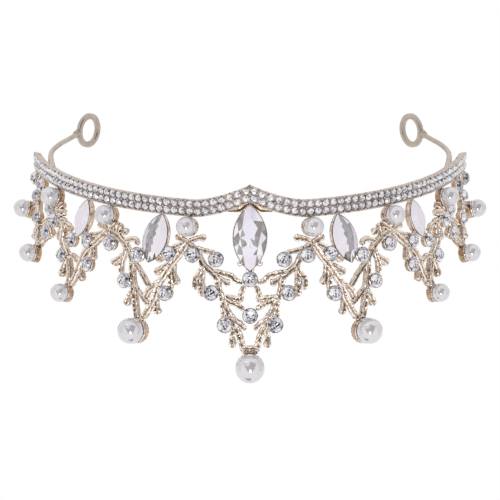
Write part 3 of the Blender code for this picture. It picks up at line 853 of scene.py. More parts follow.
def skin(rings: Sequence[Sequence[Vector]], highlights: Sequence[float], closed: bool = False) -> bpy.types.Mesh:
    """A smooth skin through rings of equally many points.

    Args:
        rings: The rings.
        highlights: The share of painted highlight at each point, ring after ring; low shares give painted
            shade.
        closed: Joins the last ring to the first; otherwise both ends get a face.

    Returns:
        The mesh, with the share of painted highlight stored on its vertices.
    """
    count, last = len(rings[0]), len(rings) - 1
    faces = []
    for lower in range(len(rings) if closed else last):
        upper = (lower + 1) % len(rings)
        for i in range(count):
            j = (i + 1) % count
            faces.append((lower * count + i, lower * count + j, upper * count + j, upper * count + i))
    if not closed:
        faces += [tuple(range(count)), tuple(range(last * count, (last + 1) * count))]
    mesh = solid([point for ring in rings for point in ring], faces)
    mesh.shade_smooth()
    mesh.set_sharp_from_angle(angle=SMOOTH_ANGLE)
    store(mesh, "ridge", highlights)
    return mesh


def turned(profile: Sequence[Turn], steps: int, flutes: int = 0) -> bpy.types.Mesh:
    """A solid turned about Z.

    Args:
        profile: Points that start and end near the axis.
        steps: Steps round the axis.
        flutes: Flutes round the axis.

    Returns:
        The mesh.
    """
    rings = []
    for point in profile:
        ring = []
        for i in range(steps):
            turn = 2 * math.pi * i / steps
            radius = point.radius * (1.0 + point.flute * math.cos(flutes * turn))
            ring.append(Vector((radius * math.cos(turn), radius * math.sin(turn), point.height)))
        rings.append(ring)
    return skin(rings, [point.ridge for point in profile for _ in range(steps)])


def unit_circle(turn: float) -> Place:
    """A point of a circle of radius 1 at a share of a full turn."""
    return math.cos(2 * math.pi * turn), math.sin(2 * math.pi * turn)


def pointed_oval(length: float, width: float) -> Callable[[float], Place]:
    """The outline of a navette: two arcs that meet in points at the ends of its length, which runs along Y.

    Args:
        length: Overall length.
        width: Overall width.

    Returns:
        The outline by share of a full turn, from the upper point.
    """
    half_length, half_width = length / 2, width / 2
    arc = (half_length ** 2 + half_width ** 2) / (2 * half_width)

    def point(turn: float) -> Place:
        """A point of the outline.

        Args:
            turn: The share of a full turn.

        Returns:
            The point.
        """
        turn %= 1.0
        side = -1.0 if turn < 0.5 else 1.0
        y = half_length * math.cos(2 * math.pi * turn)
        return side * (math.sqrt(arc ** 2 - y ** 2) - (arc - half_width)), y

    return point


@dataclass(frozen=True)
class StoneShape:
    """A faceted stone with its girdle at height 0, whose heights are in the units of its outline.

    It has as many main facets as the table has corners.  The table is a share of the outline, and its middle
    dips by a share of the crown's height.  A dark edge, painted shade, lies below the girdle and narrows
    towards its foot.
    """

    cut: Cut
    mains: int
    crown: float
    table: float
    girdle: float
    seed: int
    dip: float = 0.05
    inner_share: float = 0.5
    inner_dip: float = 0.4
    star_height: float = 0.62
    foot_share: float = 0.985

    def levels(self) -> tuple[tuple[int, float, float, float], ...]:
        """The stone's rings, from the table down.

        Returns:
            For each ring its points, its turn in steps, its share of the outline and its height.
        """
        mains, crown, table = self.mains, self.crown, self.table
        return (
            (mains, 0.5, self.inner_share * table, crown - self.inner_dip * (self.dip * crown)),
            (mains, 0.0, table, crown),
            (mains, 0.5, (1.0 + 2 * table) / 3, self.star_height * crown),
            (2 * mains, 0.0, 1.0, 0.0),
            (2 * mains, 0.0, self.foot_share, -self.girdle),
        )

    def facets(self, inner: range, top: range, middle: range, edge: range) -> list[Facet]:
        """The facets of table and crown.

        Args:
            inner: The points round the table's middle.
            top: The table's corners.
            middle: The points between table and girdle.
            edge: The girdle's points.

        Returns:
            The facets, in the order in which their tones are drawn.
        """
        facets = []
        for i in range(self.mains):
            j, left = (i + 1) % self.mains, (i - 1) % self.mains
            facets += [
                (0, inner[left], inner[i]),
                (inner[left], top[i], inner[i]),
                (inner[i], top[i], top[j]),
                (top[i], middle[i], top[j]),
                (top[i], middle[left], edge[2 * i], middle[i]),
                (middle[i], edge[2 * i], edge[2 * i + 1]),
                (middle[i], edge[2 * i + 1], edge[2 * j]),
            ]
        return facets

    def tones(self, points: Sequence[Point], facets: Sequence[Facet], outward: float) -> list[float]:
        """Draws the facets' tones.

        Args:
            points: The stone's points.
            facets: Its facets.
            outward: 1 where the stone's X axis runs towards the tiara's end, and -1 where it runs from it.

        Returns:
            The tones.
        """
        chance = random.Random(self.seed)
        places = np.array(points)[:, :2]
        places = places / np.abs(places).max(axis=0)
        tones = []
        for facet in facets:
            across, along = places[list(facet)].mean(axis=0)
            tones.append(self.cut.tone(outward * across, along, chance))
        return tones

    def mesh(self, outline: Callable[[float], Place], outward: float = 1.0) -> bpy.types.Mesh:
        """Makes the stone.

        Args:
            outline: The point of the girdle at a share of a full turn.
            outward: 1 where the stone's X axis runs towards the tiara's end, and -1 where it runs from it.

        Returns:
            The mesh, with each facet's painted tone stored on it, and a tone below 0 on the edge for painted
            shade.
        """
        points = [(0.0, 0.0, self.crown - self.dip * self.crown)]
        rings = []
        for count, shift, share, height in self.levels():
            rings.append(range(len(points), len(points) + count))
            for i in range(count):
                x, y = outline((i + shift) / count)
                points.append((share * x, share * y, height))
        *upper, foot = rings
        edge = upper[-1]
        facets = self.facets(*upper)
        sides = [(edge[i - 1], edge[i], foot[i], foot[i - 1]) for i in range(len(edge))]
        mesh = solid(points, facets + sides + [tuple(foot)])
        tones = self.tones(points, facets, outward) + [GIRDLE_SHADE_TONE] * (len(sides) + 1)
        store(mesh, "tone", tones, domain="FACE")
        return mesh


# Bar sections, whose points go out of the face and across it in half widths, each with its share of painted
# highlight


def both_sides(*half: Point) -> Section:
    """A section from the points of one of its halves, from the back to the middle of the face."""
    return tuple((out, -across, ridge) for out, across, ridge in half) + half[::-1]


def round_polish(turn: float) -> float:
    """The share of painted highlight on something round, at a turn from the middle of its face: most where
    it faces out, less towards its back, as painted shade.
    """
    return 0.75 + 0.25 * math.cos(turn)


def oval_section(depth: float, sides: int = 16) -> Section:
    """A plain oval, whose depth is a share of its width."""
    turns = (2 * math.pi * i / sides for i in range(sides))
    return tuple((depth * math.cos(turn), math.sin(turn), round_polish(turn)) for turn in turns)


# The third numbers are painted light: most painted highlight on the front edges, painted shade on the sides,
# the backs and down the middle of the face.
GROOVED_RIBBON = both_sides(
    (-1.15, 0.7, 0.6), (-0.6, 1.0, 0.4), (0.35, 1.0, 0.62), (0.78, 0.86, 1.0), (0.86, 0.62, 1.0),
    (0.68, 0.4, 0.62), (0.54, 0.16, 0.42),
)
EDGED_ROOF = both_sides(
    (-0.8, 0.8, 0.1), (0.1, 1.0, 0.3), (0.4, 0.9, 0.75), (0.4, 0.7, 0.55), (0.34, 0.55, 0.3),
    (0.3, 0.2, 0.25),
)


# Geometry node trees


class GeometryTree:
    """A geometry node tree with named inputs, whose result is baked to a plain mesh."""

    INPUTS: tuple[tuple[str, str], ...] = ()

    def __init__(self, name: str) -> None:
        """Builds the tree.

        Args:
            name: Name of the tree.
        """
        self.tree = bpy.data.node_groups.new(name, "GeometryNodeTree")
        self.names: dict[str, str] = {}
        for title, kind in (("Geometry", "NodeSocketGeometry"), *self.INPUTS):
            socket = self.tree.interface.new_socket(title, in_out="INPUT", socket_type=kind)
            self.names[title] = socket.identifier
        self.tree.interface.new_socket("Geometry", in_out="OUTPUT", socket_type="NodeSocketGeometry")
        self.graph = Graph(self.tree)
        self.source = self.tree.nodes.new("NodeGroupInput")
        result = self.build(self.graph)
        whole = self.graph.add("GeometryNodeRealizeInstances", inputs={"Geometry": result})
        finish = self.given("Finish")
        dressed = self.graph.add("GeometryNodeSetMaterial", inputs={"Geometry": whole, "Material": finish})
        sink = self.tree.nodes.new("NodeGroupOutput")
        self.tree.links.new(dressed.socket, sink.inputs["Geometry"])

    def build(self, graph: Graph) -> Wire:
        """Adds the tree's own nodes and gives their geometry."""
        raise NotImplementedError

    def given(self, title: str) -> Wire:
        """One of the tree's inputs."""
        return Wire(self.graph, self.source.outputs[title])

    def stored(self, name: str, kind: str = "FLOAT") -> Wire:
        """An attribute of the input geometry."""
        return self.graph.add("GeometryNodeInputNamedAttribute", {"data_type": kind}, {"Name": name})

    def shape(self, title: str) -> Wire:
        """The geometry of an object that is one of the tree's inputs."""
        held = {"Object": self.given(title)}
        return self.graph.add("GeometryNodeObjectInfo", inputs=held, output="Geometry")

    def bake(
        self, name: str, carrier: bpy.types.Object, finish: Finish, **values: object
    ) -> bpy.types.Object:
        """Runs the tree on a carrier and keeps the result.

        Args:
            name: Name of the piece.
            carrier: The object that holds the input geometry, which is removed.
            finish: The finish.
            values: The other inputs by title, with underscores for spaces.

        Returns:
            The piece, a plain mesh at the origin.
        """
        modifier = carrier.modifiers.new(self.tree.name, "NODES")
        modifier.node_group = self.tree
        modifier[self.names["Finish"]] = finish.material()
        for title, value in values.items():
            modifier[self.names[title.replace("_", " ")]] = value
        bpy.context.view_layer.update()
        graph = bpy.context.evaluated_depsgraph_get()
        mesh = bpy.data.meshes.new_from_object(carrier.evaluated_get(graph))
        bpy.data.objects.remove(carrier, do_unlink=True)
        mesh.name = name
        return new_object(name, mesh)


class BarTree(GeometryTree):
    """Sweeps a section along paths, rounds the ends and roughens the skin."""

    INPUTS = (
        ("Section", "NodeSocketObject"), ("Step", "NodeSocketFloat"), ("Bark Size", "NodeSocketFloat"),
        ("Bark Depth", "NodeSocketFloat"), ("Seed", "NodeSocketFloat"), ("Finish", "NodeSocketMaterial"),
    )
    LEAST_END = 0.2

    def build(self, graph: Graph) -> Wire:
        """Adds the sweep and the bark.

        Args:
            graph: The tree's nodes.

        Returns:
            The bars.
        """
        face, girth = self.stored("face", "FLOAT_VECTOR"), self.stored("girth")
        line = graph.add("GeometryNodeMeshToCurve", inputs={"Mesh": self.given("Geometry")})
        line = graph.add("GeometryNodeCurveSplineType", {"spline_type": "CATMULL_ROM"}, {"Curve": line})
        steps = {"Curve": line, "Length": self.given("Step")}
        line = graph.add("GeometryNodeResampleCurve", {"mode": "LENGTH"}, steps)
        line = graph.add("GeometryNodeSetCurveNormal", {"mode": "FREE"}, {"Curve": line, "Normal": face})
        run = graph.add("GeometryNodeSplineParameter", output="Length")
        length = graph.add("GeometryNodeSplineLength", output="Length")
        near = (run.at_most(length - run) / girth).at_most(1.0)
        rounded = (1.0 - (1.0 - near) ** 2.0).at_least(0.0).root().at_least(self.LEAST_END)
        section = graph.add("GeometryNodeMeshToCurve", inputs={"Mesh": self.shape("Section")})
        bar = graph.add(
            "GeometryNodeCurveToMesh",
            inputs={"Curve": line, "Profile Curve": section, "Scale": girth * rounded, "Fill Caps": True},
        )
        place, scale = graph.add("GeometryNodeInputPosition"), 1.0 / self.given("Bark Size")
        bark = graph.add(
            "ShaderNodeTexNoise", {"noise_dimensions": "4D"},
            {"Vector": place, "W": self.given("Seed"), "Scale": scale, "Detail": 2.0},
        )
        height = (bark - MIDDLE) * self.given("Bark Depth")
        push = {"Vector": graph.add("GeometryNodeInputNormal"), "Scale": height}
        offset = graph.add("ShaderNodeVectorMath", {"operation": "SCALE"}, push)
        bar = graph.add("GeometryNodeSetPosition", inputs={"Geometry": bar, "Offset": offset})
        return graph.add("GeometryNodeSetShadeSmooth", inputs={"Geometry": bar, "Shade Smooth": True})


class SettingTree(GeometryTree):
    """Sets copies of an item on seats, each turned about its own axis by chance."""

    INPUTS = (
        ("Item", "NodeSocketObject"), ("Spin", "NodeSocketFloat"), ("Seed", "NodeSocketInt"),
        ("Finish", "NodeSocketMaterial"),
    )

    def build(self, graph: Graph) -> Wire:
        """Adds the copies.

        Args:
            graph: The tree's nodes.

        Returns:
            The copies.
        """
        face, tangent = self.stored("face", "FLOAT_VECTOR"), self.stored("tangent", "FLOAT_VECTOR")
        stand = graph.add(
            "FunctionNodeAxesToRotation", {"primary_axis": "Z", "secondary_axis": "X"},
            {"Primary Axis": face, "Secondary Axis": tangent},
        )
        chance = graph.add("FunctionNodeRandomValue", {"data_type": "FLOAT"}, {"Seed": self.given("Seed")})
        shade = chance * self.given("Spin")
        spin = graph.add(
            "FunctionNodeAxisAngleToRotation", inputs={"Axis": tuple(UP), "Angle": shade * (2 * math.pi)}
        )
        turn = graph.add(
            "FunctionNodeRotateRotation", {"rotation_space": "LOCAL"},
            {"Rotation": stand, "Rotate By": spin},
        )
        places = {"Points": self.given("Geometry"), "Rotation": turn, "Scale": self.stored("size")}
        copies = graph.add("GeometryNodeInstanceOnPoints", inputs={**places, "Instance": self.shape("Item")})
        return graph.add(
            "GeometryNodeStoreNamedAttribute", {"data_type": "FLOAT", "domain": "INSTANCE"},
            {"Geometry": copies, "Name": "shade", "Value": shade},
        )


class Workshop:
    """Makes pieces with the two trees and fits them to the frame."""

    STEP = 0.24 * MM
    BARK_SIZE = 0.9 * MM

    def __init__(self) -> None:
        """Builds the trees."""
        self.bars = BarTree("cast_bars")
        self.settings = SettingTree("set_items")

    @staticmethod
    def lines(paths: Sequence[Path]) -> bpy.types.Mesh:
        """Lines along paths.

        Args:
            paths: The paths.

        Returns:
            The lines, with the way that a bar's face looks and half its width stored on them.
        """
        points, edges, faces, girths = [], [], [], []
        for path in paths:
            first = len(points)
            points += [axes.translation for axes in path.axes]
            faces += [axes.col[2].to_3d() for axes in path.axes]
            girths += path.girths
            edges += [(i, i + 1) for i in range(first, len(points) - 1)]
        mesh = bpy.data.meshes.new("paths")
        mesh.from_pydata(points, edges, [])
        store_vectors(mesh, "face", faces)
        store(mesh, "girth", girths)
        return mesh

    @staticmethod
    def loop(section: Section) -> bpy.types.Mesh:
        """A closed line round a section.

        Args:
            section: The section.

        Returns:
            The line, with the share of painted highlight stored on it.
        """
        count = len(section)
        mesh = bpy.data.meshes.new("section")
        points = [(out, across, 0.0) for out, across, _ in section]
        mesh.from_pydata(points, [(i, (i + 1) % count) for i in range(count)], [])
        store(mesh, "ridge", [ridge for *_, ridge in section])
        return mesh

    def cast(
        self, name: str, paths: Sequence[Path], section: Section, finish: Finish, bark_depth: float = 0.0,
        seed: float = 0.0,
    ) -> bpy.types.Object:
        """Bars along paths.

        Args:
            name: Name of the piece.
            paths: The paths.
            section: The bars' section.
            finish: The finish.
            bark_depth: Height of the bark.
            seed: Seed of the bark.

        Returns:
            The piece.
        """
        carrier = new_object("paths", self.lines(paths))
        sample = new_object("section", self.loop(section))
        piece = self.bars.bake(
            name, carrier, finish, Section=sample, Step=self.STEP, Bark_Size=self.BARK_SIZE,
            Bark_Depth=bark_depth, Seed=seed,
        )
        bpy.data.objects.remove(sample, do_unlink=True)
        return piece

    def set_items(
        self, name: str, item: bpy.types.Mesh, seats: Sequence[Seat], finish: Finish, spin: float = 0.0,
        seed: int = 0,
    ) -> bpy.types.Object:
        """Copies of an item on seats.

        Args:
            name: Name of the piece.
            item: The item's mesh, with its size in units of the seat's.
            seats: The seats.
            finish: The finish.
            spin: 1 turns every copy about its axis by chance, and 0 none.
            seed: Seed of the turns.

        Returns:
            The piece.
        """
        mesh = bpy.data.meshes.new("seats")
        mesh.from_pydata([seat.axes.translation for seat in seats], [], [])
        for title, column in (("tangent", 0), ("face", 2)):
            store_vectors(mesh, title, [seat.axes.col[column].to_3d() for seat in seats])
        store(mesh, "size", [seat.size for seat in seats])
        carrier, sample = new_object("seats", mesh), new_object("item", item)
        piece = self.settings.bake(name, carrier, finish, Item=sample, Spin=spin, Seed=seed)
        bpy.data.objects.remove(sample, do_unlink=True)
        return piece

    @staticmethod
    def dress(name: str, mesh: bpy.types.Mesh, finish: Finish) -> bpy.types.Object:
        """A piece from a mesh that is already in place.

        Args:
            name: Name of the piece.
            mesh: The mesh.
            finish: The finish.

        Returns:
            The piece.
        """
        mesh.name = name
        mesh.materials.append(finish.material())
        return new_object(name, mesh)

    @staticmethod
    def fit(piece: bpy.types.Object, slot: Slot, *nodes: str) -> None:
        """Sets a piece in for solids of the frame.

        Args:
            piece: The piece.
            slot: The material slot that it shows; not used.
            nodes: The solids that it replaces.
        """
        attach(piece, ROOT)
        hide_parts(*nodes)
        LOG.info("%s: %d faces for %s", piece.name, len(piece.data.polygons), ", ".join(nodes))


# Band


@dataclass
class PaveBand:
    """The stone-set band with its rims and bead prongs."""

    shop: Workshop
    height: float = OVAL.band_height
    thickness: float = 1.8 * MM
    half_arc: float = 93.6 * MM
    peak_rise: float = 4.7 * MM
    peak_half_arc: float = 16.0 * MM
    peak_power: float = 1.6
    rim_width: float = 0.4 * MM
    rim_proud: float = 0.3 * MM
    floor_depth: float = 0.25 * MM
    bevel: float = 0.1 * MM
    back_drop: float = 0.5 * MM
    station: float = 0.75 * MM
    end_round: float = 1.4 * MM
    stone: StoneShape = StoneShape(Cut.ROUND, mains=6, crown=0.5, table=0.55, girdle=0.2, seed=11)
    stone_pitch: float = 2.25 * MM
    stone_diameter: float = 2.06 * MM
    stone_lift: float = 0.02 * MM
    row_spacing: float = 2.14 * MM
    spin_seed: int = 5
    bead_radius: float = 0.36 * MM
    bead_row: float = 2.1 * MM
    bead_steps: int = 8
    node: str = "band"

    def rise(self, along: float) -> float:
        """How far the pointed middle stands above the ends."""
        return self.peak_rise * max(0.0, 1.0 - abs(along) / self.peak_half_arc) ** self.peak_power

    def axes(self, along: float, height: float, lift: float) -> Matrix:
        """Axes on the band's face: X along it, Y up and Z out."""
        point, tangent, outward = OVAL.at(along)
        return axes_at(point + lift * outward + (height + self.rise(along)) * UP, tangent, UP, outward)

    def section(self) -> Section:
        """The strip's section: two rims, the floor that the stones lie in, and a plain back.

        Returns:
            Lift, height and share of painted highlight of its points.
        """
        half, bevel, proud = self.height / 2, self.bevel, self.rim_proud
        inner, back = half - self.rim_width, half - self.back_drop
        # Painted light: painted highlight on the rims, painted shade on the back and darkest on the floor
        # between the stones.
        upper = (
            (-self.thickness, back - bevel, 0.6),
            (bevel - self.thickness, back, 0.7),
            (proud - bevel, half, 0.9),
            (proud, half - bevel, 1.0),
            (proud, inner + bevel, 1.0),
            (proud - bevel, inner, 0.6),
            (-self.floor_depth, inner - bevel, 0.35),
        )
        return upper + tuple((lift, -height, ridge) for lift, height, ridge in reversed(upper))

    def strip(self) -> bpy.types.Object:
        """The metal strip with its rounded ends.

        Returns:
            The piece.
        """
        section = self.section()
        count = round(self.half_arc / self.station)
        stations = [self.half_arc * i / count for i in range(-count, count + 1)]
        rings = []
        for along in stations:
            past = max(0.0, abs(along) - (self.half_arc - self.end_round)) / self.end_round
            cut = 1.0 - math.sqrt(max(0.0, 1.0 - past ** 2))
            size = 1.0 - self.end_round / (self.height / 2) * cut
            rings.append([self.axes(along, height * size, lift).translation for lift, height, _ in section])
        mesh = skin(rings, [ridge for _ in stations for *_, ridge in section])
        return self.shop.dress("band_strip", mesh, BAND_GOLD)

    def columns(self) -> list[float]:
        """Where the stone columns are along the band."""
        count = round((self.half_arc - self.stone_diameter) / self.stone_pitch)
        return [self.stone_pitch * (i + 0.5) for i in range(-count, count)]

    def stones(self) -> bpy.types.Object:
        """Two rows of cut stones.

        Returns:
            The piece.
        """
        seats = [
            Seat(self.axes(along, row * self.row_spacing, self.stone_lift), self.stone_diameter / 2)
            for along in self.columns() for row in (-0.5, 0.5)
        ]
        item = self.stone.mesh(unit_circle)
        return self.shop.set_items("band_stones", item, seats, PAVE_CRYSTAL, spin=1.0, seed=self.spin_seed)

    def beads(self) -> bpy.types.Object:
        """The bead prongs between the stones.

        Returns:
            The piece.
        """
        # The third numbers are painted light: painted highlight on each bead's top, painted shade towards
        # its foot.
        profile = (
            Turn(0.02, 1.0, 1.0), Turn(0.5, 0.87, 1.0), Turn(0.87, 0.5, 0.9), Turn(1.0, 0.0, 0.5),
            Turn(1.0, -0.8, 0.2), Turn(0.02, -0.8, 0.2),
        )
        places = [along - self.stone_pitch / 2 for along in self.columns()]
        seats = [
            Seat(self.axes(along, row, 0.0), self.bead_radius)
            for along in places for row in (-self.bead_row, 0.0, self.bead_row)
        ]
        return self.shop.set_items("band_beads", turned(profile, self.bead_steps), seats, BAND_GOLD)

    def build(self) -> None:
        """Builds the band and sets it in."""
        self.shop.fit(self.strip(), Slot.GOLD, self.node)
        self.shop.fit(self.stones(), Slot.CRYSTAL, self.node)
        self.shop.fit(self.beads(), Slot.GOLD, self.node)


# Sprays, whose places are in millimetres along the band from a spray's start, and down from the band


FIRST_KNOT = 17.0
KNOT_PITCH = 25.3
KNOT_DROP = 7.2
KNOT = (0.0, KNOT_DROP)
FAR_KNOT = (KNOT_PITCH, KNOT_DROP)
BAND_POST = ((0.0, -0.4), (0.0, 1.5))
BAND_PEARL_PLACE = (0.0, 2.97)
BAND_PEARL = 5.5
CENTRE_PEARL = 8.0
INNER_PEARL = 7.2
OUTER_PEARL = 5.2


@dataclass(frozen=True)
class PearlPlan:
    """A pearl: its node, its place and its diameter."""

    node: str
    place: Place
    diameter: float


@dataclass(frozen=True)
class NavettePlan:
    """A navette: its node, its cut, its place, its size and its turn on the lattice."""

    node: str
    cut: Cut
    place: Place
    length: float
    width: float
    turn: float = 0.0


@dataclass(frozen=True)
class SprayPlan:
    """The places of one spray: wide branches, twigs with free ends, links, collars, and what is set."""

    name: str
    start: float
    branches: tuple[Places, ...]
    twigs: tuple[Places, ...]
    links: tuple[Places, ...]
    collars: tuple[Places, ...]
    crystals: Places
    crystal_nodes: tuple[str, ...]
    pearls: tuple[PearlPlan, ...]
    posts: tuple[Places, ...] = (BAND_POST,)
    clasps: tuple[Places, ...] = ()
    balls: tuple[Point, ...] = ()
    navette: NavettePlan | None = None
    mirrored: bool = True


def both_ways(*paths: Places) -> tuple[Places, ...]:
    """Paths and their mirror images."""
    signs = (1.0, -1.0)
    return tuple(tuple((sign * along, drop) for along, drop in path) for path in paths for sign in signs)


def numbered(name: str, count: int) -> tuple[str, ...]:
    """Names with numbers from 1."""
    return tuple(f"{name}_{number}" for number in range(1, count + 1))


def centre_plan() -> SprayPlan:
    """The middle spray: two mirrored branches that meet over the largest pearl, and the large navette.

    Returns:
        The plan.
    """
    knot, fork, waist = (FIRST_KNOT, KNOT_DROP), (10.0, 15.1), (7.3, 21.7)
    collar_drop, ball_drop, ball, bead = 36.1, 12.4, 0.85, 0.5
    crystals = both_ways(((15.4, 10.6),), ((9.0, 11.5),), ((9.9, 20.7),), ((6.2, 29.4),))
    return SprayPlan(
        "centre", 0.0,
        branches=both_ways((
            knot, (14.2, 9.9), (12.4, 13.0), fork, (8.5, 16.7), (8.0, 19.8), waist, (6.4, 23.7),
            (5.4, 26.1), (3.4, 30.3), (2.4, 32.6), (1.6, 36.3),
        )),
        twigs=both_ways(
            ((8.4, 16.4), (6.6, 17.3), (5.2, 18.2)),
            ((12.4, 13.2), (13.1, 15.1), (14.2, 16.9), (14.0, 20.2)),
            ((12.4, 13.2), (12.5, 16.7), (12.3, 21.9)),
            ((3.8, 29.8), (4.3, 32.5), (4.2, 35.6)),
        ),
        links=both_ways(
            ((14.9, 8.6), (12.0, 9.3), (10.2, 9.6), (9.5, 10.1)),
            (fork, (8.3, 15.0), (5.0, 15.8), (3.5, 17.2), (1.8, 17.6)),
            (waist, (5.1, 21.8), (3.1, 22.1), (1.7, 22.7)),
            ((1.5, 18.5), (2.3, 21.0), (2.0, 22.9)),
            (waist, (5.2, 22.9), (3.5, 23.6), (1.5, 25.1)),
            ((5.8, 25.0), (4.0, 27.6), (2.8, 28.6), (1.7, 28.9)),
            ((4.1, 28.2), (2.3, 29.2), (1.0, 30.6)),
            ((7.0, 22.6), (6.7, 25.3), (6.7, 27.9)),
        ),
        collars=(((-2.3, collar_drop), (2.3, collar_drop)), ((0.0, 13.2), (0.0, 15.4))),
        posts=(((0.0, 10.5), (0.0, 16.0)),),
        clasps=both_ways((
            (6.3, -1.85), (4.6, -2.0), (3.0, -2.35), (2.0, -3.05), (0.9, -3.95), (-0.4, -4.5),
        )),
        balls=(
            (2.6, ball_drop, ball), (-2.6, ball_drop, ball),
            (1.55, collar_drop, bead), (0.0, collar_drop, bead), (-1.55, collar_drop, bead),
        ),
        crystals=tuple(place for (place,) in crystals) + ((0.0, 16.7), (0.0, 26.7)),
        crystal_nodes=numbered("crystal_centre", 10),
        pearls=(PearlPlan("pearl_tip_centre", (0.0, 40.96), CENTRE_PEARL),),
        navette=NavettePlan("navette_centre", Cut.LARGE, (0.0, 5.35), 18.0, 9.0),
        mirrored=False,
    )


def inner_plan() -> SprayPlan:
    """The spray beside the middle one, with a medium navette.

    Returns:
        The plan.
    """
    elbow, fork, split, low_fork = (18.6, 10.4), (16.0, 13.8), (4.4, 14.2), (14.7, 20.3)
    return SprayPlan(
        "inner", FIRST_KNOT,
        branches=(
            (
                FAR_KNOT, (22.6, 7.7), (20.8, 8.8), elbow, fork, (15.6, 16.5), low_fork, (13.9, 23.4),
                (13.2, 26.5), (12.3, 30.0),
            ),
            (KNOT, (2.3, 11.1), split, (7.0, 18.7), (9.8, 21.5), (10.7, 24.0)),
            ((5.4, 16.2), (7.4, 20.0), (8.0, 23.3), (9.6, 27.2), (11.0, 29.6)),
        ),
        twigs=(
            (KNOT, (-1.8, 6.3), (-3.5, 5.7), (-5.1, 5.8)),
            (KNOT, (1.7, 6.5), (3.5, 5.6)),
            ((18.8, 12.8), (20.5, 14.4), (22.5, 16.3)),
            ((22.6, 7.4), (20.4, 6.4), (18.7, 6.9)),
            ((21.8, 7.2), (21.4, 4.4)),
            ((14.4, 21.5), (15.5, 24.3), (16.1, 27.0)),
            ((3.6, 13.0), (3.3, 16.2), (2.1, 19.2)),
            ((4.6, 13.3), (6.4, 14.8), (8.6, 16.8)),
            ((7.9, 22.0), (7.1, 25.9), (6.8, 28.0)),
            ((6.2, 11.6), (8.5, 13.1)),
        ),
        links=(
            (KNOT, (2.0, 8.0), (4.4, 9.4)),
            ((19.2, 9.4), (17.6, 8.6), (16.4, 8.2), (15.2, 8.6), (14.7, 9.8)),
            (elbow, (18.8, 13.0), (19.3, 15.5), (18.9, 18.4)),
            (fork, (12.7, 17.0), (9.9, 20.6)),
            (low_fork, (13.4, 21.8), (12.0, 23.2), (9.4, 25.6)),
            (split, (3.9, 19.5), (4.2, 21.4)),
            ((22.2, 8.0), (23.7, 10.6)),
            ((5.0, 10.8), (9.7, 10.6), (14.3, 12.3)),
        ),
        collars=(((11.5, 28.6), (12.1, 30.8)),),
        crystals=((14.3, 12.3), (5.0, 10.8), (17.3, 20.0), (5.1, 21.8), (23.7, 10.6)),
        crystal_nodes=numbered("crystal_inner", 5),
        pearls=(
            PearlPlan("pearl_band_inner", BAND_PEARL_PLACE, BAND_PEARL),
            PearlPlan("pearl_tip_inner", (12.1, 33.21), INNER_PEARL),
        ),
        navette=NavettePlan("navette_inner", Cut.MEDIUM, (9.1, 7.0), 14.0, 7.0, math.radians(12.0)),
    )


def outer_plan() -> SprayPlan:
    """The spray further round, with a small navette.

    Returns:
        The plan.
    """
    bend, split, fork = (19.3, 9.2), (4.8, 12.2), (14.6, 17.8)
    return SprayPlan(
        "outer", FIRST_KNOT + KNOT_PITCH,
        branches=(
            ((21.1, 8.3), bend, (18.7, 13.0), (18.2, 14.7), fork, (12.6, 21.4), (11.8, 25.6)),
            (KNOT, (2.5, 10.0), split, (6.4, 13.5), (8.0, 16.0), (9.6, 22.0), (11.2, 25.6)),
        ),
        twigs=(
            (KNOT, (-1.7, 5.8), (-3.4, 4.7)),
            (KNOT, (2.0, 6.4), (4.2, 6.0)),
            (split, (4.0, 14.6), (4.2, 16.6)),
            ((8.6, 18.0), (7.8, 20.6), (7.3, 23.3)),
            (bend, (20.8, 11.3), (20.3, 14.5)),
            (fork, (15.3, 20.8), (15.3, 24.0)),
        ),
        links=(
            (KNOT, (2.0, 8.1), (4.2, 9.2), (6.8, 9.8)),
            (bend, (17.0, 9.2), (15.2, 10.8)),
            (bend, FAR_KNOT),
            (fork, (12.4, 17.0), (9.2, 18.4)),
            ((7.1, 11.4), (10.5, 8.8), (13.7, 12.7)),
            ((4.2, 15.2), (5.2, 17.0)),
            (fork, (16.2, 17.5)),
        ),
        collars=(((11.7, 24.2), (12.1, 26.2)),),
        crystals=((7.1, 11.4), (13.7, 12.7), (16.8, 17.9), (5.5, 18.0)),
        crystal_nodes=numbered("crystal_outer", 4),
        pearls=(
            PearlPlan("pearl_band_outer", BAND_PEARL_PLACE, BAND_PEARL),
            PearlPlan("pearl_tip_outer", (12.1, 27.89), OUTER_PEARL),
        ),
        navette=NavettePlan("navette_outer", Cut.SMALL, (9.9, 5.7), 11.0, 5.5, math.radians(9.0)),
    )


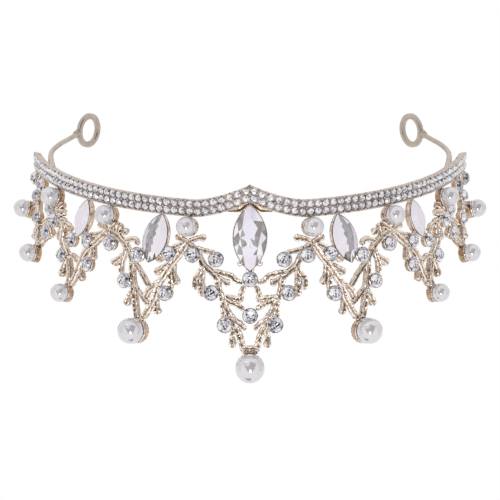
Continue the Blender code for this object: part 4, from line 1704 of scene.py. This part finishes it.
def end_plan() -> SprayPlan:
    """The spray at the band's end, whose crystals are one with their casting's node.

    Returns:
        The plan.
    """
    bend, low_bend, collar = (13.7, 8.5), (9.9, 13.5), (6.9, 19.0)
    near_hang, hang, far_hang = (12.8, 2.4), (17.6, 2.4), (21.8, 2.4)
    side_pearl = (20.5, 11.8)
    return SprayPlan(
        "end", FIRST_KNOT + 2 * KNOT_PITCH,
        branches=(
            ((17.6, -0.5), hang, bend, low_bend, (8.0, 17.6), collar),
            (KNOT, (1.6, 10.5), (1.6, 13.4), (4.2, 16.8), collar),
        ),
        twigs=(
            (KNOT, (-3.7, 3.8)),
            (KNOT, (-5.4, 6.2)),
            (low_bend, (10.7, 15.6), (10.2, 18.2)),
            ((1.7, 12.0), (-0.6, 14.6)),
        ),
        links=(
            ((0.8, 9.0), (4.0, 10.3), (7.3, 12.3), (10.4, 12.9)),
            (bend, (18.0, 10.2), side_pearl),
            (near_hang, far_hang),
        ),
        collars=(((7.1, 17.8), (6.7, 19.8)),),
        posts=(BAND_POST, ((12.8, -0.5), near_hang), ((21.8, -0.5), far_hang)),
        crystals=((2.9, 7.0), (-1.2, 9.4), (2.2, 13.8), (10.6, 11.8), (15.2, 6.2), near_hang, far_hang),
        crystal_nodes=(),
        pearls=(
            PearlPlan("pearl_band_end", BAND_PEARL_PLACE, BAND_PEARL),
            PearlPlan("pearl_side_end", side_pearl, OUTER_PEARL),
            PearlPlan("pearl_tip_end", (6.7, 21.49), OUTER_PEARL),
        ),
    )


@dataclass
class TwigSpray:
    """One cast spray with its cups, pearls, crystals and navette, on one side of the tiara."""

    shop: Workshop
    plan: SprayPlan
    side: Side = Side.RIGHT
    branch_girth: float = 0.9 * MM
    twig_girth: float = 0.75 * MM
    bud_share: float = 1.4
    bud_length: float = 1.1
    bud_most: float = 0.8
    post_girth: float = 0.42 * MM
    clasp_girths: tuple[float, ...] = (0.15 * MM, 0.35 * MM, 0.7 * MM, 0.85 * MM, 0.7 * MM, 0.45 * MM)
    clasp_lift: float = 0.9 * MM
    collar_girth: float = 1.2 * MM
    ball_lift: float = 0.9 * MM
    ball_rings: int = 10
    ball_steps: int = 20
    bark_depth: float = 0.62 * MM
    sway: float = 0.2 * MM
    crystal: StoneShape = StoneShape(Cut.ROUND, mains=8, crown=0.44, table=0.58, girdle=0.16, seed=29)
    crystal_diameter: float = 4.0 * MM
    crystal_seat: float = 0.95 * MM
    crystal_cup_steps: int = 32
    setting_back: float = 0.95 * MM
    pearl_rings: int = 40
    pearl_steps: int = 64
    pearl_pole: float = 0.02
    peg_hole: float = 0.2
    pearl_cup_steps: int = 80
    pearl_cup_flutes: int = 20
    navette_stone: StoneShape = StoneShape(
        Cut.LARGE, mains=12, crown=1.3 * MM, table=0.6, girdle=0.35 * MM, seed=17, dip=0.0
    )
    navette_seat: float = 1.2 * MM
    navette_wall: float = 0.3 * MM
    boat_steps: int = 48
    seed: int = 3

    @property
    def sign(self) -> float:
        """The way that this spray runs along the band."""
        return self.side.value if self.plan.mirrored else 1.0

    def node(self, name: str) -> str:
        """A node's name on this side."""
        return f"{name}_{self.side.word}" if self.plan.mirrored else name

    def piece(self, kind: str) -> str:
        """The name of a piece of this spray."""
        return self.node(f"{self.plan.name}_{kind}")

    def axes(self, place: Place, lift: float = 0.0, turn: float = 0.0) -> Matrix:
        """Axes at a place of this spray.

        Args:
            place: The place.
            lift: Distance out of the lattice's face.
            turn: Turn on the face, mirrored with the spray.

        Returns:
            The axes.
        """
        along, drop = place
        axes = OVAL.lattice(self.sign * (self.plan.start + along) * MM, drop * MM, lift)
        return axes @ Matrix.Rotation(self.sign * turn, 4, "Z")

    def path(self, places: Places, girth: float, end_share: float = 1.0, lift: float = 0.0) -> Path:
        """A bar's path.

        Args:
            places: Its places.
            girth: Half the bar's width.
            end_share: The width at the end as a share; above 1 the end is a bud of its own length.
            lift: Distance out of the lattice's face.

        Returns:
            The path.
        """
        girths = (girth,) * (len(places) - 1) + (girth * end_share,)
        if end_share > 1.0:
            (along, drop), (end_along, end_drop) = places[-2:]
            back = min(self.bud_most, self.bud_length / math.hypot(end_along - along, end_drop - drop))
            neck = (end_along + (along - end_along) * back, end_drop + (drop - end_drop) * back)
            places = (*places[:-1], neck, places[-1])
            girths = (*girths, girth * end_share)
        return Path(tuple(self.axes(place, lift) for place in places), girths)

    def bars(self) -> bpy.types.Object:
        """Branches, twigs, links, collars and posts.

        Returns:
            The piece.
        """
        plan, chance = self.plan, random.Random(self.seed)
        kinds = (
            (plan.branches, self.branch_girth, 1.0),
            (plan.twigs, self.twig_girth, self.bud_share),
            (plan.links, self.twig_girth, 1.0),
            (plan.collars, self.collar_girth, 1.0),
            (plan.posts, self.post_girth, 1.0),
        )
        paths = []
        for lines, girth, end_share in kinds:
            for places in lines:
                paths.append(self.path(places, girth, end_share, chance.uniform(-self.sway, self.sway)))
        name = self.piece("twigs")
        return self.shop.cast(name, paths, GROOVED_RIBBON, CAST_GOLD, self.bark_depth, float(self.seed))

    def clasp(self) -> bpy.types.Object:
        """The roof-shaped clasp over the navette's upper point.

        Returns:
            The piece.
        """
        paths = [
            Path(tuple(self.axes(place, self.clasp_lift) for place in places), self.clasp_girths)
            for places in self.plan.clasps
        ]
        return self.shop.cast(self.piece("clasp"), paths, EDGED_ROOF, CAST_GOLD)

    def balls(self) -> bpy.types.Object:
        """The ball prongs and collar beads, each on a short stalk.

        Returns:
            The piece.
        """
        angles = (math.pi * i / self.ball_rings for i in range(1, self.ball_rings))
        # Painted light: each ball has a painted highlight where it faces out and painted shade towards its
        # back and stalk.
        ball = [Turn(math.sin(angle), math.cos(angle), round_polish(angle)) for angle in angles]
        profile = [Turn(0.02, 1.0, 1.0), *ball, Turn(0.3, -1.6, 0.3), Turn(0.02, -1.6, 0.3)]
        seats = [
            Seat(self.axes((along, drop), self.ball_lift), radius * MM)
            for along, drop, radius in self.plan.balls
        ]
        return self.shop.set_items(self.piece("balls"), turned(profile, self.ball_steps), seats, CAST_GOLD)

    def crystal_seats(self) -> list[Seat]:
        """Where the crystals' girdles are, with their radii as size."""
        radius = self.crystal_diameter / 2
        return [Seat(self.axes(place, self.crystal_seat), radius) for place in self.plan.crystals]

    def crystal_cups(self) -> bpy.types.Object:
        """The plain cups of the round crystals.

        Returns:
            The piece.
        """
        depth = -(self.crystal_seat + self.setting_back) / (self.crystal_diameter / 2)
        # The third numbers are painted light: painted highlight on the lip, painted shade under it and on
        # the floor under the stone.
        profile = (
            Turn(0.05, -0.3, 0.0), Turn(0.9, -0.2, 0.0), Turn(1.0, -0.08, 0.7), Turn(1.06, -0.05, 1.0),
            Turn(1.12, -0.09, 1.0), Turn(1.12, -0.22, 0.6), Turn(1.06, -0.3, 0.3),
            Turn(1.03, depth + 0.1, 0.35), Turn(0.95, depth, 0.6), Turn(0.05, depth, 0.6),
        )
        item = turned(profile, self.crystal_cup_steps)
        return self.shop.set_items(self.piece("crystal_cups"), item, self.crystal_seats(), CAST_GOLD)

    def crystals(self) -> bpy.types.Object:
        """The round crystals.

        Returns:
            The piece.
        """
        name, item = self.piece("crystals"), self.crystal.mesh(unit_circle)
        return self.shop.set_items(name, item, self.crystal_seats(), ROUND_CRYSTAL, spin=1.0, seed=self.seed)

    def pearl_seats(self) -> list[Seat]:
        """Where the pearls stand: their lowest points, with their radii as size."""
        return [Seat(self.axes(pearl.place), pearl.diameter * MM / 2) for pearl in self.plan.pearls]

    def pearl_cups(self) -> bpy.types.Object:
        """The stepped, fluted cups that the pearls are glued in.

        Returns:
            The piece.
        """
        # The third numbers are painted light: painted highlight on the lip, painted shade under it and
        # inside the cup.
        profile = (
            Turn(0.05, 0.02), Turn(0.5, 0.12), Turn(0.86, 0.44, 0.2), Turn(0.91, 0.51, 0.9),
            Turn(0.96, 0.51, 1.0), Turn(0.99, 0.45, 0.8), Turn(0.98, 0.38, 0.4), Turn(0.95, 0.3, 0.1),
            Turn(0.97, 0.22, 0.45, 0.02), Turn(0.97, -0.18, 0.35, 0.025), Turn(0.93, -0.26, 0.5, 0.015),
            Turn(0.85, -0.3, 0.6), Turn(0.05, -0.3, 0.6),
        )
        item = turned(profile, self.pearl_cup_steps, self.pearl_cup_flutes)
        return self.shop.set_items(self.piece("pearl_cups"), item, self.pearl_seats(), CAST_GOLD)

    def pearls(self) -> bpy.types.Object:
        """The pearls, each with the mouth of its peg hole.

        Returns:
            The piece.
        """
        reach = math.pi - math.asin(self.peg_hole) - self.pearl_pole
        angles = [self.pearl_pole + reach * i / self.pearl_rings for i in range(self.pearl_rings + 1)]
        profile = [Turn(math.sin(angle), 1.0 + math.cos(angle)) for angle in angles]
        profile += [Turn(0.18, 0.3), Turn(0.01, 0.3)]
        item = turned(profile, self.pearl_steps)
        return self.shop.set_items(self.piece("pearls"), item, self.pearl_seats(), PEARL_LUSTRE)

    def navette(self, navette: NavettePlan) -> bpy.types.Object:
        """The navette crystal.

        Args:
            navette: Its plan.

        Returns:
            The piece.
        """
        outline = pointed_oval(navette.length * MM, navette.width * MM)
        mesh = replace(self.navette_stone, cut=navette.cut).mesh(outline, self.sign)
        mesh.transform(self.axes(navette.place, self.navette_seat, navette.turn))
        store(mesh, "shade", [0.0] * len(mesh.vertices))
        finish = LARGE_CRYSTAL if navette.cut is Cut.LARGE else NAVETTE_CRYSTAL
        return self.shop.dress(self.piece("navette"), mesh, finish)

    def boat(self, navette: NavettePlan) -> bpy.types.Object:
        """The boat-shaped setting of the navette.

        Args:
            navette: The navette's plan.

        Returns:
            The piece.
        """
        axes = self.axes(navette.place, self.navette_seat, navette.turn)
        depth, wall, steps = self.navette_seat + self.setting_back, self.navette_wall, self.boat_steps
        # The last numbers are painted light: painted highlight on the lip, painted shade inside and down the
        # outer wall.
        levels = (
            (0.7, 0.0, -0.5 * MM, 0.0),
            (1.0, 0.02 * MM, -0.2 * MM, 0.9),
            (1.0, wall * 0.6, -0.04 * MM, 1.0),
            (1.0, wall, -0.25 * MM, 0.8),
            (0.94, wall, 0.25 * MM - depth, 0.4),
            (0.9, wall, -depth, 0.6),
        )
        rings = []
        for share, widen, height, _ in levels:
            length, width = [size * MM * share + 2 * widen for size in (navette.length, navette.width)]
            outline = pointed_oval(length, width)
            rings.append([axes @ Vector((*outline(i / steps), height)) for i in range(steps)])
        mesh = skin(rings, [ridge for *_, ridge in levels for _ in range(steps)])
        return self.shop.dress(self.piece("boat"), mesh, CAST_GOLD)

    def build(self) -> None:
        """Builds the spray and sets it in."""
        plan, spray = self.plan, self.node(f"spray_{self.plan.name}")
        crystal_nodes = [self.node(name) for name in plan.crystal_nodes] or [spray]
        self.shop.fit(self.bars(), Slot.GOLD, spray)
        self.shop.fit(self.crystal_cups(), Slot.GOLD, spray)
        self.shop.fit(self.pearl_cups(), Slot.GOLD, spray)
        self.shop.fit(self.crystals(), Slot.CRYSTAL, *crystal_nodes)
        self.shop.fit(self.pearls(), Slot.PEARL, *[self.node(pearl.node) for pearl in plan.pearls])
        if plan.balls:
            self.shop.fit(self.balls(), Slot.GOLD, spray)
        if plan.clasps:
            self.shop.fit(self.clasp(), Slot.GOLD, spray)
        if plan.navette:
            self.shop.fit(self.navette(plan.navette), Slot.CRYSTAL, self.node(plan.navette.node))
            self.shop.fit(self.boat(plan.navette), Slot.GOLD, spray)


# End arms


@dataclass
class EndArm:
    """A wire arm behind the band's end, with an eye for a ribbon or a hair pin."""

    shop: Workshop
    side: Side
    girth: float = 0.75 * MM
    foot_girth: float = 1.0 * MM
    foot_inset: float = 2.9 * MM
    foot_arcs: tuple[float, ...] = (74.0 * MM, 77.0 * MM, 80.0 * MM)
    bends: Places = ((98.9 * MM, 5.2 * MM), (110.7 * MM, 7.0 * MM), (120.3 * MM, 9.0 * MM))
    eye_place: Place = (134.5 * MM, 11.45 * MM)
    eye_turn: float = math.radians(35.0)
    eye_hole: float = 7.2 * MM
    eye_ring: float = 1.7 * MM
    eye_thickness: float = 1.6 * MM
    eye_bevel: float = 0.35 * MM
    eye_steps: int = 64
    web_length: float = 3.4 * MM
    web_girth: float = 1.9 * MM
    web_depth: float = 0.36

    @property
    def heading(self) -> Vector:
        """The way that the eye points, level."""
        return Vector((-self.side.value * math.sin(self.eye_turn), math.cos(self.eye_turn), 0.0))

    @property
    def joint(self) -> float:
        """How far the middle of the eye's ring is from its centre."""
        return (self.eye_hole + self.eye_ring) / 2

    def inside(self, along: float, inset: float) -> Vector:
        """A point inside the oval at an arc length from the front."""
        point, _, outward = OVAL.at(self.side.value * along)
        return point - inset * outward

    def eye_axes(self, back: float = 0.0) -> Matrix:
        """Axes of the eye, set back along its heading: X along it, Y up and Z out of its face."""
        face = Vector((self.heading.y, -self.heading.x, 0.0))
        return axes_at(self.inside(*self.eye_place) - back * self.heading, self.heading, UP, face)

    def wire(self) -> bpy.types.Object:
        """The bent wire with its thicker foot.

        Returns:
            The piece.
        """
        points = [self.inside(along, self.foot_inset) for along in self.foot_arcs]
        girths = [self.foot_girth] * len(points)
        points += [self.inside(*bend) for bend in self.bends] + [self.eye_axes(self.joint).translation]
        girths += [self.girth] * (len(points) - len(girths))
        path = Path(tuple(Matrix.Translation(point) for point in points), tuple(girths))
        return self.shop.cast(f"arm_wire_{self.side.word}", [path], oval_section(1.0), DRAWN_WIRE)

    def web(self) -> bpy.types.Object:
        """The flat three-cornered web where the wire meets the eye.

        Returns:
            The piece.
        """
        backs = (self.joint + self.web_length, self.joint + self.web_length / 2, self.joint)
        girths = (self.girth, (self.girth + self.web_girth) / 2, self.web_girth)
        path = Path(tuple(self.eye_axes(back) for back in backs), girths)
        return self.shop.cast(f"arm_web_{self.side.word}", [path], oval_section(self.web_depth), DRAWN_WIRE)

    def eye(self) -> bpy.types.Object:
        """The flat-sided eye with rounded edges.

        Returns:
            The piece.
        """
        inner, outer = self.eye_hole / 2, self.eye_hole / 2 + self.eye_ring
        half, bevel, steps = self.eye_thickness / 2, self.eye_bevel, self.eye_steps
        section = (
            (outer, half - bevel), (outer - bevel, half), (inner + bevel, half), (inner, half - bevel),
            (inner, bevel - half), (inner + bevel, -half), (outer - bevel, -half), (outer, bevel - half),
        )
        rings = []
        for i in range(steps):
            turn = self.eye_axes() @ Matrix.Rotation(2 * math.pi * i / steps, 4, "Z")
            rings.append([turn @ Vector((radius, 0.0, height)) for radius, height in section])
        mesh = skin(rings, [1.0] * (steps * len(section)), closed=True)
        return self.shop.dress(f"arm_eye_{self.side.word}", mesh, DRAWN_WIRE)

    def build(self) -> None:
        """Builds the arm and sets it in."""
        for piece in (self.wire(), self.web(), self.eye()):
            self.shop.fit(piece, Slot.WIRE, f"arm_{self.side.word}")


# Studio


@dataclass(frozen=True)
class Lamp:
    """A square soft lamp: its name, its place, its side and its power."""

    name: str
    place: Point
    size: float
    power: float


@dataclass(frozen=True)
class Card:
    """A grey card that shows in reflections only: its name, corners and distance, and how light it is.

    A corner is the way to it from the tiara's middle: degrees from the front towards +X, and up.
    """

    name: str
    ways: Places
    distance: float
    grey: float


def upright(first: float, last: float, low: float, high: float) -> Places:
    """The ways to the corners of an upright card."""
    return (first, low), (last, low), (last, high), (first, high)


@dataclass
class Studio:
    """Camera, pale floor, white surroundings, soft lamps and grey cards."""

    camera_place: Point = (0.0, -0.72698, 0.17618)
    camera_tilt: float = math.radians(74.0)
    lens: float = 178.55
    sensor: float = 36.0
    near_clip: float = 0.01
    floor_height: float = -0.22
    floor_radius: float = 6.0
    floor_sides: int = 64
    fill: float = 0.68
    middle: Point = (0.0, -0.05, -0.015)
    lamps: tuple[Lamp, ...] = (
        Lamp("front_lamp", (0.03, -0.75, -0.03), size=0.2, power=0.9),
        Lamp("top_lamp", (-0.3, -0.5, 0.7), size=0.6, power=0.8),
    )
    cards: tuple[Card, ...] = (
        Card(
            "front_card", ((-72.0, 44.0), (0.0, 64.0), (72.0, 44.0), (3.0, -28.0)), distance=1.8, grey=0.04
        ),
        Card("right_card", upright(70.0, 110.0, -30.0, 50.0), distance=0.9, grey=0.78),
        Card("left_card", upright(-70.0, -110.0, -30.0, 50.0), distance=0.9, grey=0.78),
        Card("back_card", upright(130.0, 230.0, -40.0, 0.0), distance=1.2, grey=0.5),
        Card("low_card", upright(-42.0, 10.0, -52.0, -76.0), distance=0.17, grey=0.03),
    )

    def camera(self) -> None:
        """The camera at the photograph's view."""
        data = bpy.data.cameras.new("camera")
        data.lens = self.lens
        data.sensor_width = self.sensor
        data.clip_start = self.near_clip
        camera = bpy.data.objects.new("camera", data)
        camera.location = self.camera_place
        camera.rotation_euler = (self.camera_tilt, 0.0, 0.0)
        bpy.context.scene.collection.objects.link(camera)
        bpy.context.scene.camera = camera

    def floor(self) -> None:
        """A round pale floor below the tiara."""
        bm = bmesh.new()
        bmesh.ops.create_circle(bm, cap_ends=True, segments=self.floor_sides, radius=self.floor_radius)
        bmesh.ops.translate(bm, verts=bm.verts, vec=(0.0, 0.0, self.floor_height))
        mesh = bpy.data.meshes.new("floor")
        bm.to_mesh(mesh)
        bm.free()
        mesh.materials.append(PALE_FLOOR.material())
        new_object("floor", mesh)

    def surroundings(self) -> None:
        """A world that is white to the camera and in reflections, and softer as light."""
        world = bpy.data.worlds.new("surroundings")
        world.use_nodes = True
        bpy.context.scene.world = world
        graph = Graph(world.node_tree)
        background = world.node_tree.nodes["Background"]
        strength = self.fill + (1.0 - self.fill) * graph.shown()
        graph.tree.links.new(strength.socket, background.inputs["Strength"])
        background.inputs["Color"].default_value = opaque(WHITE)

    def light(self, lamp: Lamp) -> None:
        """Sets up a lamp that looks at the tiara's middle.

        Args:
            lamp: The lamp.
        """
        data = bpy.data.lights.new(lamp.name, "AREA")
        data.size = lamp.size
        data.energy = lamp.power
        made = bpy.data.objects.new(lamp.name, data)
        made.location = lamp.place
        made.rotation_euler = (Vector(self.middle) - made.location).to_track_quat("-Z", "Y").to_euler()
        bpy.context.scene.collection.objects.link(made)

    def hang(self, card: Card) -> None:
        """Hangs a card round the tiara's middle.

        Args:
            card: The card.
        """
        points = []
        for way in card.ways:
            turn, rise = [math.radians(angle) for angle in way]
            level = math.cos(rise)
            ahead = Vector((math.sin(turn) * level, -math.cos(turn) * level, math.sin(rise)))
            points.append(Vector(self.middle) + card.distance * ahead)
        mesh = bpy.data.meshes.new(card.name)
        mesh.from_pydata(points, [], [range(len(points))])
        mesh.materials.append(GreyCard(card.name, card.grey).material())
        made = new_object(card.name, mesh)
        made.visible_camera = made.visible_diffuse = made.visible_shadow = made.visible_transmission = False

    def build(self) -> None:
        """Sets up the studio."""
        self.camera()
        self.floor()
        self.surroundings()
        for lamp in self.lamps:
            self.light(lamp)
        for card in self.cards:
            self.hang(card)
        bpy.context.scene.view_settings.view_transform = "Standard"
        LOG.info("studio: floor, %d lamps and %d cards", len(self.lamps), len(self.cards))


def main() -> None:
    """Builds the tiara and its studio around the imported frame."""
    logging.basicConfig(level=logging.INFO, format="%(message)s")
    LOG.info("frame: %d nodes", len(frame["nodes"]))
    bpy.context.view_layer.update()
    Studio().build()
    shop = Workshop()
    PaveBand(shop).build()
    TwigSpray(shop, centre_plan()).build()
    for side in Side:
        for plan in (inner_plan(), outer_plan(), end_plan()):
            TwigSpray(shop, plan, side).build()
        EndArm(shop, side).build()


if __name__ == "__main__":
    main()
